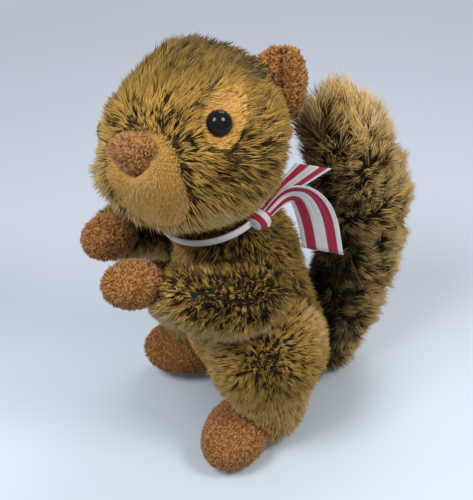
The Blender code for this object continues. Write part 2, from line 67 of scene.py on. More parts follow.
# Marks on the head, in its own frame and the same on both sides: the nose's tip, then each dark mark's
# place, size and share of dark pile, then the way that trimmed pile faces and how much lower it lies
NOSE_TIP = (0.0, -0.0600, -0.0020)
HEAD_DARK = (((0.044, -0.030, -0.014), 0.019, 0.66), ((0.054, -0.008, -0.006), 0.014, 0.34),
             ((0.034, -0.034, 0.021), 0.008, 0.55))
HEAD_TRIM = (0.71, -0.31, 0.63)
HEAD_TRIM_DEPTH = 0.0050

# Nose: how far the muzzle swells round it, how it is spread and how far it is set back
NOSE_COLLAR = 0.0022
NOSE_SPREAD = (1.16, 1.0, 0.92)
NOSE_SET_BACK = 0.0018

# Ears, in the head's own frame: the line of the crease, and how the lower end is drawn in
EAR_CREASE = ((0.0446, 0.0330, 0.0440), (0.0436, 0.0298, 0.0300), (0.0446, 0.0286, 0.0180))
EAR_CREASE_WIDTH = 0.0017
EAR_CREASE_DEPTH = 0.0045
EAR_TAPER_FROM = 0.0240
EAR_TAPER = 0.0060

# Short pile: the outlines that the part's source cuts, on the head in its own frame, and how far each
# eye is pressed into its patch
MUZZLE_HALF_WIDTH = 0.0245
MUZZLE_SPAN = (0.0100, -0.0440)
EYE_TURN = math.radians(52)
EYE_LIFT = math.radians(9)
EYE_SINK = {"left": 0.0003, "right": 0.0020}
EYE_PATCH_HALF = (0.01025, 0.0165)
EYE_PATCH_LEAN = math.radians(32)
EYE_PATCH_SHIFT = 0.0030
BELLY_HALF_WIDTH = 0.0220
BELLY_SPAN = (0.1500, 0.0180)

# Spine of the tail, as places behind and above the seat, with the number of steps that it is read in.
# The outer corner below its tip is sunk, about as wide and as deep as given
TAIL_SPINE = ((0.0400, 0.0150), (0.0540, 0.0250), (0.0660, 0.0500), (0.0770, 0.0850), (0.0790, 0.1200),
              (0.0730, 0.1500), (0.0620, 0.1800), (0.0530, 0.2020), (0.0500, 0.2130))
SPINE_STEPS = 60
TAIL_CORNER = (0.0, 0.0920, 0.1980)
TAIL_CORNER_SIZE = 0.016
TAIL_CORNER_DEPTH = 0.0085

# Number of strands of long pile on each piece, and of places tried for them
HEAD_STRANDS = 31800
HEAD_TRIES = 56000
TORSO_STRANDS = 15000
ARM_STRANDS = 8500
LEG_STRANDS = 12500
TAIL_STRANDS = 31800
TRIES_PER_STRAND = 2.2
PANEL_TRIES = 60000

# Every long strand: how far up it is thickest, how much it curls over and how round its clump is lit
MIDDLE = 0.45
BEND = 0.5
PUFF = 0.35

# How far short pile and curls stray from their way
SHORT_SPREAD = 0.3

# How much darker a dark strand is, on the head and elsewhere
HEAD_DARK_DROP = 0.54
DARK_DROP = 0.42

# A strand that would run into a neighbour keeps at least this share of its length
LEAST_LENGTH = 0.2

# How softly a panel of short pile ends, in the pile and in the skin
PILE_EDGE = 0.0008
SKIN_EDGE = 0.003

# How deep pile is rooted below its tips, as a share of its length, and how deep the skin lies, as a
# share of the depth of the roots
HEAD_ROOTED = 0.58
BODY_ROOTED = 0.76
TAIL_ROOTED = 0.56
SHORT_ROOTED = 0.70
SKIN_SHARE = 0.64

# Each terry piece with its number of curls, the grid of its skin and its painted light: how much lighter
# it is toned for the light that falls on it, below 0 for painted shade
TERRY_PIECES = (("nose", 1900, 0.0012, 0.34),
                ("ear_left", 4800, 0.0012, -0.04), ("ear_right", 3600, 0.0013, -0.04),
                ("paw_left", 3700, 0.0015, 0.08), ("paw_right", 3500, 0.0016, 0.08),
                ("foot_left", 6600, 0.0017, 0.34), ("foot_right", 4400, 0.0018, 0.0))

# Nubs of the terry: how wide they are, how high they stand in the skin and under the curls, and how
# wide a curl is
NUB_SIZE = 0.0011
NUB_HEIGHT = 0.00040
CURL_LIFT = 0.00045
CURL_WIDTH = 0.00140

# Ribbon, as in the part's source: the size of the strip, its ribs and stripes, and its rows: on each
# end, round the neck, and where an end is cut at a slant
RIBBON_WIDTH = 0.0240
RIBBON_FOLDS = 7
RIBBON_THICKNESS = 0.00035
RIB_PITCH = 0.0009
STRIPES = ((0.105, 0.345), (0.635, 0.875))
STRIPE_EDGE = 0.020
END_ROWS = 40
RING_ROWS = 61
CUT_ROWS = 12

# Its band in the neck: how wide it is gathered, how wide its folds are, how far it stands off the neck,
# how much of the turn the knot takes on either side, and how far apart the folds lie
BAND_WIDTH = 0.0065
BAND_FOLD = 0.0050
BAND_PROUD = 0.0012
BAND_OPENING = 0.02
FOLD_GAP = 0.0006
FOLD_OFFSET = 0.0003

# The neck that it lies round, and the knot: its turn round the neck, its radii, how the ends leave it,
# the segments of its ball and the length of cloth that its ribs are drawn for
NECK_CENTRE = (0.0, -0.0400, 0.1715)
NECK_RADIUS = 0.0330
NECK_SLOPE = math.radians(19)
KNOT_TURN = math.radians(107)
KNOT_RADII = (0.0060, 0.0075, 0.0060)
KNOT_EXIT = (0.05, -0.40, 0.90)
KNOT_SEGMENTS = (28, 20)
KNOT_CLOTH = 0.040

# Its two hanging ends. Each row is a place, the way across and the share of the full width there, and
# the slant is how far a cut end runs off square
UPPER_TAIL = ((0.0355, -0.0161, 0.1893, 0.10, -0.45, 0.86, 0.50),
              (0.0365, -0.0058, 0.1945, 0.13, -0.50, 0.84, 0.83),
              (0.0380, 0.0051, 0.2002, 0.15, -0.52, 0.84, 1.00))
UPPER_SLANT = -0.0090
LOWER_TAIL = ((0.0405, -0.0174, 0.1880, 0.15, -0.38, 0.88, 0.50),
              (0.0440, -0.0092, 0.1890, 0.52, 0.00, 0.86, 0.79),
              (0.0465, -0.0032, 0.1829, 0.62, 0.30, 0.70, 0.92),
              (0.0465, 0.0035, 0.1676, 0.69, 0.60, 0.39, 1.00),
              (0.0450, 0.0104, 0.1428, 0.66, 0.72, 0.22, 1.00))
LOWER_SLANT = 0.0040

# Below this height the floor presses the pile flat
FLOOR_REST = 0.0010

# Floor: half its side, where it turns from its near to its far colour, away from the camera, where it
# fades into the backdrop, from the middle of the object, and how far it lies below z = 0
FLOOR_HALF = 3.0
FLOOR_TURN = (-0.02, 0.16)
FLOOR_FADE = (0.45, 1.10)
FLOOR_DROP = 0.0004

# Light from all round
SKY_COLOUR = (0.90, 0.94, 1.0)
SKY_STRENGTH = 0.50

# Height that the lamps point at, and each lamp: its name, the turn and rise of its place, how far away,
# how wide, its power and its colour
LAMP_AIM = 0.12
LAMPS = (("key", 15, 52, 1.1, 0.45, 8.0, (0.97, 0.985, 1.0)),
         ("fill", 112, 50, 1.2, 0.42, 7.5, (1.0, 0.965, 0.91)),
         ("back", 215, 55, 1.2, 0.60, 3.5, (1.0, 1.0, 1.0)))


def length_of(name, description, default, low, high):
    return bpy.props.FloatProperty(
        name=name, description=description, default=default, min=low, max=high, unit="LENGTH")


def colour_of(name, description, default):
    return bpy.props.FloatVectorProperty(
        name=name, description=description, default=default, min=0.0, max=1.0, subtype="COLOR")


class PileSizes(bpy.types.PropertyGroup):
    """Sizes of the pile."""

    head_pile: length_of("Head pile", "Length of the pile on the head", 0.0135, 0.002, 0.03)
    body_pile: length_of(
        "Body pile", "Length of the pile on the torso, arms and legs", 0.0098, 0.002, 0.03)
    tail_pile: length_of("Tail pile", "Length of the long pile on the tail", 0.0172, 0.002, 0.05)
    short_pile: length_of(
        "Short pile", "Length of the pile on the muzzle, eye patches and belly", 0.0040, 0.001, 0.02)
    terry_pile: length_of("Terry pile", "Length of the loops of the terry", 0.0024, 0.0005, 0.01)
    strand: length_of("Strand", "Width of one strand of the pile at its middle", 0.00072, 0.0002, 0.003)


class PileColours(bpy.types.PropertyGroup):
    """Colours of the pile, the ribbon and the stage."""

    golden: colour_of("Golden tips", "Tips of the long pile on the head and body", (0.500, 0.295, 0.064))
    dark: colour_of("Dark roots", "Roots of the pale long pile", (0.110, 0.066, 0.018))
    tail: colour_of("Tail tips", "Tips of the long pile on the tail", (0.670, 0.435, 0.150))
    short: colour_of("Short pile", "Pile of the muzzle and the eye patches", (0.670, 0.365, 0.082))
    terry: colour_of("Terry", "Loops of the nose, ears, paws and feet", (0.445, 0.183, 0.042))
    ribbon: colour_of("Ribbon", "Ground of the ribbon", (0.720, 0.680, 0.700))
    stripe: colour_of("Ribbon stripe", "Stripes of the ribbon", (0.370, 0.003, 0.034))
    floor: colour_of("Floor", "Floor in front", (0.560, 0.630, 0.700))
    wall: colour_of("Backdrop", "Floor and backdrop behind", (0.500, 0.540, 0.615))


# Shader tools


class Signal:
    """A socket whose Python operators add Math nodes."""

    def __init__(self, look, socket):
        self.look = look
        self.socket = socket

    def _math(self, operation, *others):
        values = dict(enumerate((self, *others)))
        return self.look.node("ShaderNodeMath", {"operation": operation}, values)

    def __add__(self, other):
        return self._math("ADD", other)

    __radd__ = __add__

    def __sub__(self, other):
        return self._math("SUBTRACT", other)

    def __rsub__(self, other):
        return self.look.node("ShaderNodeMath", {"operation": "SUBTRACT"}, {0: other, 1: self})

    def __mul__(self, other):
        return self._math("MULTIPLY", other)

    __rmul__ = __mul__

    def clamped(self):
        return self.look.node("ShaderNodeClamp", {}, {"Value": self})

    def sine(self):
        return self._math("SINE")

    def between(self, low, high):
        """From 0 at low to 1 at high, smooth at both ends."""
        return self.look.node("ShaderNodeMapRange", {"interpolation_type": "SMOOTHSTEP"}, {
            "Value": self, "From Min": low, "From Max": high})


class Look:
    """A Principled material and the nodes that feed it."""

    def __init__(self, name, specular=0.5, **constants):
        self.material = bpy.data.materials.new(name)
        self.material.use_nodes = True
        self.tree = self.material.node_tree
        self.shader = self.tree.nodes["Principled BSDF"]
        self.shader.inputs["Specular IOR Level"].default_value = specular
        for key, value in constants.items():
            self.shader.inputs[key.replace("_", " ").title()].default_value = value

    def node(self, kind, settings=None, values=None, output=0):
        made = self.tree.nodes.new(kind)
        for key, value in (settings or {}).items():
            if key == "stops":
                ramp = made.color_ramp
                while len(ramp.elements) > 1:
                    ramp.elements.remove(ramp.elements[-1])
                ramp.elements[0].position = value[0][0]
                ramp.elements[0].color = (*value[0][1], 1.0)
                for place, colour in value[1:]:
                    ramp.elements.new(place).color = (*colour, 1.0)
            else:
                setattr(made, key, value)
        for key, value in (values or {}).items():
            if isinstance(value, Signal):
                self.tree.links.new(value.socket, made.inputs[key])
            else:
                made.inputs[key].default_value = value
        return Signal(self, made.outputs[output])

    def ramp(self, signal, stops):
        return self.node("ShaderNodeValToRGB", {"stops": stops}, {"Fac": signal})

    def mixed(self, share, first, second, blend="MIX"):
        made = self.tree.nodes.new("ShaderNodeMix")
        made.data_type = "RGBA"
        made.blend_type = blend
        for k, value in ((0, share), (6, first), (7, second)):
            socket = made.inputs[k]
            if isinstance(value, Signal):
                self.tree.links.new(value.socket, socket)
            elif hasattr(value, "__len__"):
                socket.default_value = (*value, 1.0)
            else:
                socket.default_value = value
        return Signal(self, made.outputs[2])

    def noise(self, scale, detail):
        values = {"Vector": self.place(), "Scale": scale, "Detail": detail}
        return self.node("ShaderNodeTexNoise", {}, values)

    def place(self):
        """Object coordinates."""
        return self.node("ShaderNodeTexCoord", output=3)

    def halves(self, vector):
        """The first two parts of a vector."""
        node = self.node("ShaderNodeSeparateXYZ", {}, {"Vector": vector}).socket.node
        return Signal(self, node.outputs[0]), Signal(self, node.outputs[1])

    def laid(self):
        """The two directions of the piece's own map."""
        return self.halves(self.node("ShaderNodeUVMap", {"uv_map": MAP}))

    def feed(self, key, signal):
        self.tree.links.new(signal.socket, self.shader.inputs[key])

    def bump(self, height, distance, strength=1.0):
        values = {"Height": height, "Distance": distance, "Strength": strength}
        self.feed("Normal", self.node("ShaderNodeBump", {}, values))


def pile_look(name, roots, tips, turn, sheen=0.06):
    """Pile whose strands turn from a root to a tip colour. The map's first direction is the tone."""
    look = Look(name, specular=0.15, roughness=0.9, sheen_weight=sheen, sheen_roughness=0.6)
    tone, along = look.laid()
    root, tip = look.ramp(tone, roots), look.ramp(tone, tips)
    look.feed("Base Color", look.mixed(along.between(*turn), root, tip))
    return look.material


def skin_look(name, dark, light):
    """The woven backing under the pile."""
    look = Look(name, roughness=0.95)
    share = look.node("ShaderNodeAttribute", {"attribute_name": "short"}, output=2)
    grain = look.noise(900.0, 2.0)
    under = look.mixed(share, dark, light)
    look.feed("Base Color", look.mixed(grain * 0.4, under, tuple(c * 0.6 for c in dark)))
    look.bump(grain, 0.0004)
    return look.material


# Solid tools


def node_mesh(*names):
    """One bmesh of the named CAD nodes, merged so that its faces join up."""
    work = bmesh.new()
    for name in names:
        work.from_mesh(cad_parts[name].data)
    bmesh.ops.remove_doubles(work, verts=work.verts[:], dist=0.00001)
    return work


def mesh_from(work, name, smooth=False):
    """A mesh of a bmesh, which is used up."""
    mesh = bpy.data.meshes.new(name)
    work.to_mesh(mesh)
    work.free()
    if smooth:
        mesh.shade_smooth()
    return mesh


def tree_of(*names):
    work = node_mesh(*names)
    tree = BVHTree.FromBMesh(work)
    work.free()
    return tree


def placed(name, data):
    made = bpy.data.objects.new(name, data)
    bpy.context.scene.collection.objects.link(made)
    return made


def dressed(made, look):
    made.data.materials.clear()
    made.data.materials.append(look)
    return made


def finished(made, replaced=()):
    """Say what a piece rides on, and hide the nodes that it stands for."""
    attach(made, BODY)
    if replaced:
        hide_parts(*replaced)


def remeshed(name, nodes, voxel, smoothing=4):
    """A closed, even skin round the named nodes."""
    made = placed(name, mesh_from(node_mesh(*nodes), name))
    grid = made.modifiers.new("grid", "REMESH")
    grid.mode = "VOXEL"
    grid.voxel_size = voxel
    grid.use_smooth_shade = True
    even = made.modifiers.new("even", "SMOOTH")
    even.factor = 0.5
    even.iterations = smoothing
    bpy.context.view_layer.update()
    shown = made.evaluated_get(bpy.context.evaluated_depsgraph_get())
    made.data = bpy.data.meshes.new_from_object(shown)
    made.modifiers.clear()
    return made


def read(rows, key):
    """A vector of each row of a mesh."""
    found = np.empty(len(rows) * 3)
    rows.foreach_get(key, found)
    return found.reshape(-1, 3)


def read_vertices(mesh):
    return read(mesh.vertices, "co")


def read_normals(mesh):
    return read(mesh.vertex_normals, "vector")


def moved(made, offsets):
    """Move each vertex by its row of offsets."""
    points = read_vertices(made.data) + offsets
    made.data.vertices.foreach_set("co", points.ravel())
    made.data.update()


def unit(vectors):
    return vectors / np.maximum(np.linalg.norm(vectors, axis=-1, keepdims=True), 1e-12)


def fade_in(values, start, width):
    """0 up to the start, 1 past the width after it, even between."""
    return np.clip((values - start) / width, 0, 1)


def bell(gaps, width):
    """1 where there is no gap, fading to 0 at about twice the width."""
    return np.exp(-(gaps / width) ** 2)


def waves(points, size, seed, count=9):
    """Smooth noise of about -1 to 1 with bumps about as large as size."""
    draw = np.random.default_rng(seed)
    ways = unit(draw.normal(size=(count, 3))) * draw.uniform(0.6, 1.5, (count, 1))
    shift = draw.uniform(0, 2 * math.pi, count)
    return np.sin(points @ ways.T * (math.pi / size) + shift).sum(axis=1) / count**0.5


# Pile


class Cloth:
    """A surface that pile grows on, with places spread evenly over it."""

    def __init__(self, mesh):
        mesh.calc_loop_triangles()
        corners = np.empty(len(mesh.loop_triangles) * 3, np.int32)
        mesh.loop_triangles.foreach_get("vertices", corners)
        self.corners = corners.reshape(-1, 3)
        self.points = read_vertices(mesh)
        self.normals = read_normals(mesh)
        a, b, c = (self.points[self.corners[:, k]] for k in range(3))
        self.areas = np.linalg.norm(np.cross(b - a, c - a), axis=1) / 2

    def scattered(self, count, draw):
        """Random points spread by area, and the surface's normals there."""
        share = np.cumsum(self.areas) / self.areas.sum()
        picked = np.searchsorted(share, draw.random(count))
        u, v = draw.random(count), draw.random(count)
        fold = u + v > 1
        u[fold], v[fold] = 1 - u[fold], 1 - v[fold]
        weights = np.stack([1 - u - v, u, v], axis=1)[:, :, None]
        rows = self.corners[picked]
        places = (self.points[rows] * weights).sum(axis=1)
        return places, unit((self.normals[rows] * weights).sum(axis=1))


def nearest(tree, points):
    """For each point its distance from a closed surface, below zero inside."""
    found = np.empty(len(points))
    for k, point in enumerate(points):
        near, normal, _, distance = tree.find_nearest(Vector(point))
        found[k] = distance if (Vector(point) - near).dot(normal) >= 0 else -distance
    return found


def free_length(tree, starts, ways, reach):
    """How far each ray goes before it meets the surface, and reach where it meets none."""
    found = np.array(reach, float)
    for k in range(len(starts)):
        hit = tree.ray_cast(Vector(starts[k]), Vector(ways[k]), float(reach[k]))
        if hit[0] is not None:
            found[k] = hit[3]
    return found


def clumps_of(roots, size, draw):
    """For each root, which root leads its clump. Leaders stand about one clump size apart."""
    cells = {}
    order = draw.permutation(len(roots))
    keys = np.floor((roots + draw.normal(size=roots.shape) * size * 0.08) / size).astype(int)
    for k in order:
        cells.setdefault(tuple(keys[k]), k)
    leaders = np.fromiter(cells.values(), int)
    tree = KDTree(len(leaders))
    for k, leader in enumerate(leaders):
        tree.insert(Vector(roots[leader]), k)
    tree.balance()
    return leaders[[tree.find(Vector(p))[1] for p in roots]]


def three_sides(ways, width, draw):
    """Three ways out from each strand, and its half width."""
    side = unit(np.cross(ways, unit(draw.normal(size=ways.shape))))
    other = np.cross(ways, side)
    half = width / 2 * draw.uniform(0.75, 1.2, len(ways))[:, None]
    angles = [2 * math.pi * k / 3 for k in range(3)]
    return [side * math.cos(angle) + other * math.sin(angle) for angle in angles], half


def grow(name, roots, normals, combs, lengths, tones, look, lean, width, clump, pull, spread, seed,
         mottle):
    """Pile as closed spindles: each strand has a root, three sides at its middle and a tip.

    Strands lean from the normal to the comb, and their tips are pulled to the leader of their clump.
    """
    draw = np.random.default_rng(seed)
    count = len(roots)
    lean = np.broadcast_to(lean, count)[:, None]
    combs = unit(combs - normals * np.sum(combs * normals, axis=1, keepdims=True))
    heads = clumps_of(roots, clump, draw)
    tones = tones + mottle * (draw.random(count) - 0.5)[heads] * 2

    clump_turn = unit(draw.normal(size=(count, 3))) * spread * 1.3
    own_turn = unit(draw.normal(size=(count, 3))) * spread
    start = unit(normals * np.cos(lean * (1 - BEND)) + combs * np.sin(lean * (1 - BEND)))
    finish = unit(normals * np.cos(lean * (1 + BEND)) + combs * np.sin(lean * (1 + BEND)))
    start_way = unit(start + clump_turn[heads] * 0.6 + own_turn)
    finish_way = unit(finish + clump_turn[heads] * 1.2 + own_turn * 1.2)
    mids = roots + start_way * lengths[:, None] * MIDDLE
    tips = mids + finish_way * lengths[:, None] * (1 - MIDDLE)
    lead = unit(start[heads] + clump_turn[heads] * 0.6)
    lead_end = unit(finish[heads] + clump_turn[heads] * 1.2)
    lead_mids = roots[heads] + lead * lengths[heads][:, None] * MIDDLE
    lead_tips = lead_mids + lead_end * lengths[heads][:, None] * (1 - MIDDLE)
    pulled = (pull * draw.uniform(0.45, 1.15, count))[:, None]
    mids += (lead_mids - mids) * pulled * 0.45
    tips += (lead_tips - tips) * pulled

    way = unit(tips - roots)
    rim, half = three_sides(way, width, draw)
    points = np.stack([roots, *(mids + r * half for r in rim), tips], axis=1).reshape(-1, 3)
    away = unit(mids - lead_mids + 1e-9) * PUFF
    facing = [unit(normals + way * 0.3)]
    for r in rim:
        facing.append(unit(normals * 0.8 + r * 0.45 + away))
    facing.append(unit(normals + way * 0.5 + away))
    facing = np.stack(facing, axis=1).reshape(-1, 3)
    u = np.stack([tones, tones - 0.004, tones, tones + 0.004, tones], axis=1)
    v = np.tile([0.01, MIDDLE, MIDDLE, MIDDLE, 0.99], (count, 1))
    pattern = (0, 2, 1, 0, 3, 2, 0, 1, 3, 4, 1, 2, 4, 2, 3, 4, 3, 1)
    return strand_mesh(name, points, facing, u, v, pattern, look)


def bristle(name, roots, normals, combs, lengths, tones, look, lean, width, clump, pull, seed):
    """Short pile and terry as closed spikes with three sides."""
    draw = np.random.default_rng(seed)
    count = len(roots)
    combs = unit(combs - normals * np.sum(combs * normals, axis=1, keepdims=True))
    heads = clumps_of(roots, clump, draw)
    stray = unit(draw.normal(size=(count, 3))) * SHORT_SPREAD
    way = unit(normals * math.cos(lean) + combs * math.sin(lean) + stray)
    tips = roots + way * lengths[:, None]
    tips += (tips[heads] - tips) * (pull * draw.uniform(0.5, 1.1, count))[:, None]
    rim, half = three_sides(way, width, draw)
    points = np.stack([*(roots + r * half for r in rim), tips], axis=1).reshape(-1, 3)
    facing = [unit(normals * 0.9 + r * 0.5) for r in rim]
    facing.append(unit(normals + way * 0.5))
    facing = np.stack(facing, axis=1).reshape(-1, 3)
    u = np.stack([tones - 0.004, tones, tones + 0.004, tones], axis=1)
    v = np.tile([0.01, 0.01, 0.01, 0.99], (count, 1))
    return strand_mesh(name, points, facing, u, v, (0, 1, 3, 1, 2, 3, 2, 0, 3, 0, 2, 1), look)


def strand_mesh(name, points, facing, u, v, pattern, look):
    """One mesh of many equal closed strands, with its map laid by tone and from root to tip."""
    count, corners = u.shape
    low = points[:, 2] < FLOOR_REST
    points[low, 2] = FLOOR_REST * np.exp(points[low, 2] / FLOOR_REST - 1)
    first = np.arange(count, dtype=np.int32)[:, None] * corners
    loops = (first + np.array(pattern, np.int32)).ravel()
    mesh = bpy.data.meshes.new(name)
    mesh.vertices.add(count * corners)
    mesh.vertices.foreach_set("co", points.ravel())
    mesh.loops.add(len(loops))
    mesh.loops.foreach_set("vertex_index", loops)
    mesh.polygons.add(len(loops) // 3)
    mesh.polygons.foreach_set("loop_start", np.arange(0, len(loops), 3, dtype=np.int32))
    mesh.polygons.foreach_set("use_smooth", np.ones(len(loops) // 3, bool))
    chart = mesh.uv_layers.new(name=MAP)
    laid = np.stack([np.clip(u, 0.008, 0.992), v], axis=2).reshape(-1, 2)[loops]
    chart.uv.foreach_set("vector", laid.ravel().astype(np.float32))
    mesh.update(calc_edges=True)
    mesh.normals_split_custom_set_from_vertices(facing)
    return dressed(placed(name, mesh), look)


def head_frame():
    turn = Matrix.Rotation(HEAD_TURN, 4, "Z")
    nod = Matrix.Rotation(-HEAD_NOD, 4, "X")
    tilt = Matrix.Rotation(-HEAD_TILT, 4, "Y")
    return Matrix.Translation(HEAD_CENTRE) @ turn @ nod @ tilt


def local(matrix, points):
    """Points in the frame of a matrix."""
    inverse = np.array(matrix.inverted())
    return points @ inverse[:3, :3].T + inverse[:3, 3]


def world_way(matrix, ways):
    return ways @ np.array(matrix)[:3, :3].T


def sizes():
    return bpy.context.scene.squirrel_pile


def colours():
    return bpy.context.scene.squirrel_colours


def golden_tips(tint):
    return shades(tint.golden, 0.04, 0.16, 0.55, 1.0, 1.17)


def short_pile_look(name, tint):
    roots, tips = shades(tint.short, 0.22, 0.42, 0.70), shades(tint.short, 0.55, 1.0, 1.14)
    return pile_look(name, roots, tips, turn=(0.15, 0.7))


def shades(colour, *amounts):
    """Ramp stops from dark to light: an amount up to 1 dims the colour, one above 1 pales it."""
    colour = np.array(colour)
    stops = []
    for k, amount in enumerate(amounts):
        made = colour * amount if amount <= 1 else colour + (1 - colour) * (amount - 1)
        stops.append((k / (len(amounts) - 1), tuple(float(c) for c in made)))
    return stops


def in_oval(x, z, half_width, half_height, squareness, blur):
    """1 inside a rounded oval, 0 outside, soft over a width."""
    gap = np.abs(x / half_width) ** squareness + np.abs(z / half_height) ** squareness
    gap **= 1 / squareness
    return np.clip(0.5 - (gap - 1) * min(half_width, half_height) / blur, 0, 1)


def muzzle_share(points, blur=PILE_EDGE):
    """1 on the short pile of the muzzle."""
    h = local(head_frame(), points)
    top, bottom = MUZZLE_SPAN
    x, z = h[:, 0], h[:, 2] - (top + bottom) / 2
    return in_oval(x, z, MUZZLE_HALF_WIDTH, (top - bottom) / 2, 2.6, blur) * (h[:, 1] < -0.012)


def patch_share(points, blur=PILE_EDGE):
    """1 on the short pile round either eye."""
    h = local(head_frame(), points)
    share = np.zeros(len(points))
    for side in (-1, 1):
        eye = Matrix.Rotation(side * EYE_TURN, 4, "Z") @ Matrix.Rotation(-EYE_LIFT, 4, "X")
        q = local(eye, h)
        across, up = q[:, 0] - side * EYE_PATCH_SHIFT, q[:, 2] - EYE_PATCH_SHIFT
        c, s = math.cos(side * EYE_PATCH_LEAN), math.sin(side * EYE_PATCH_LEAN)
        found = in_oval(across * c - up * s, across * s + up * c, *EYE_PATCH_HALF, 2.0, blur)
        share = np.maximum(share, found * (q[:, 1] < 0))
    return share


def face_share(points, blur=PILE_EDGE):
    """1 on any short pile of the head."""
    return np.maximum(muzzle_share(points, blur), patch_share(points, blur))


def belly_share(points, blur=PILE_EDGE):
    """1 on the short pile of the belly."""
    top, bottom = BELLY_SPAN
    x, z = points[:, 0], points[:, 2] - (top + bottom) / 2
    return in_oval(x, z, BELLY_HALF_WIDTH, (top - bottom) / 2, 2.3, blur) * (points[:, 1] < -0.025)


def marked(made, share):
    layer = made.data.attributes.new("short", "FLOAT", "POINT")
    layer.data.foreach_set("value", share.astype(np.float32))


def patchy(points, size, share, seed):
    """True on ragged patches of about a size, which cover a share of the surface."""
    field = waves(points, size, seed) + 0.7 * waves(points, size * 0.55, seed + 1)
    rank = np.empty(len(points))
    rank[np.argsort(field)] = np.arange(len(points)) / len(points)
    return rank < share


def blob(points, centre, radius):
    """1 at a centre, fading to 0 at about twice the radius."""
    return bell(np.linalg.norm(points - np.array(centre), axis=1), radius)


def ripple(points, size, seed, amount):
    """A wandering direction for each point, so that pile doesn't lie in straight lines."""
    return np.stack([waves(points, size, seed + k) for k in range(3)], axis=1) * amount


def under_skin(name, nodes, voxel, look, depth_of, share_of=None):
    """The stuffed skin under the pile, and the surface that the pile's tips reach."""
    made = remeshed(name, nodes, voxel)
    outer = Cloth(made.data)
    marked(made, share_of(outer.points, SKIN_EDGE) if share_of else np.zeros(len(outer.points)))
    moved(made, -outer.normals * depth_of(outer.points, outer.normals)[:, None] * SKIN_SHARE)
    return dressed(made, look), outer


def open_points(points, normals, others, lift=0.0012):
    """True where nothing else covers a point of the skin."""
    if not others:
        return np.ones(len(points), bool)
    return nearest(tree_of(*others), points + normals * lift) > 0


def spared(guards, roots, normals, combs, lengths, lean):
    """Lengths cut back where a strand would run into a neighbour."""
    if not guards:
        return lengths
    lean = np.broadcast_to(lean, len(roots))[:, None]
    way = unit(normals * np.cos(lean) + unit(combs) * np.sin(lean))
    free = free_length(tree_of(*guards), roots, way, lengths * 1.15)
    return np.minimum(lengths, np.maximum(free * 0.9, lengths * LEAST_LENGTH))


def furred(name, nodes, others, guards, count, depth, length, look, backing, comb_of, tone_of, dark_of,
           slot, replaced, seed, lean, share_of=None, panel_depth=0.0, voxel=0.003, grain=0.0025,
           long_of=None, sunk_of=None, **habits):
    """A stuffed piece: its skin, and long pile on all of it but the panels.

    The lean is an angle, or a function of the points.
    """

    def rooted(points):
        return np.full(len(points), depth) + (sunk_of(points) if sunk_of else 0)

    def depth_of(points, normals):
        found = rooted(points)
        if share_of is not None:
            found += (panel_depth - found) * share_of(points, SKIN_EDGE)
        return found

    skin, outer = under_skin(name + "_skin", nodes, voxel, backing, depth_of, share_of)
    finished(skin, replaced)
    draw = np.random.default_rng(seed)
    points, normals = outer.scattered(int(count * TRIES_PER_STRAND), draw)
    clear = open_points(points, normals, others)
    if share_of is not None:
        clear &= share_of(points) < 0.5
    pick = np.flatnonzero(clear)[:count]
    points, normals = points[pick], normals[pick]
    combs = comb_of(points)
    lengths = length * draw.uniform(0.72, 1.14, len(points))
    if long_of is not None:
        lengths *= long_of(points)
    if callable(lean):
        lean = lean(points)
    roots = points - normals * rooted(points)[:, None]
    lengths = spared(guards, roots, normals, combs, lengths, lean)
    tones = tone_of(points, normals) + 0.05 * draw.normal(size=len(points))
    tones -= DARK_DROP * patchy(points, grain, dark_of(points, normals), seed + 5)
    pile = grow(name + "_pile", roots, normals, combs, lengths, tones, look, lean, seed=seed + 1,
                **habits)
    finished(pile)
    return outer


def shorn(name, outer, share_of, count, stands_for, slot, look, length, comb_of, tone_of, others, guards,
          seed, width, **habits):
    """Short pile on the named panels of a skin."""
    draw = np.random.default_rng(seed)
    points, normals = outer.scattered(PANEL_TRIES, draw)
    pick = np.flatnonzero(share_of(points) > 0.5)
    points, normals = points[pick], normals[pick]
    pick = np.flatnonzero(open_points(points, normals, others, 0.002))[:count]
    points, normals = points[pick], normals[pick]
    combs = comb_of(points)
    lengths = length * draw.uniform(0.75, 1.15, len(points))
    roots = points - normals * length * SHORT_ROOTED
    lengths = spared(guards, roots, normals, combs, lengths, lean=0.6)
    tones = tone_of(points) + 0.10 * draw.normal(size=len(points))
    pile = bristle(name, roots, normals, combs, lengths, tones, look, width=width, seed=seed + 1,
                   **habits)
    finished(pile, stands_for)


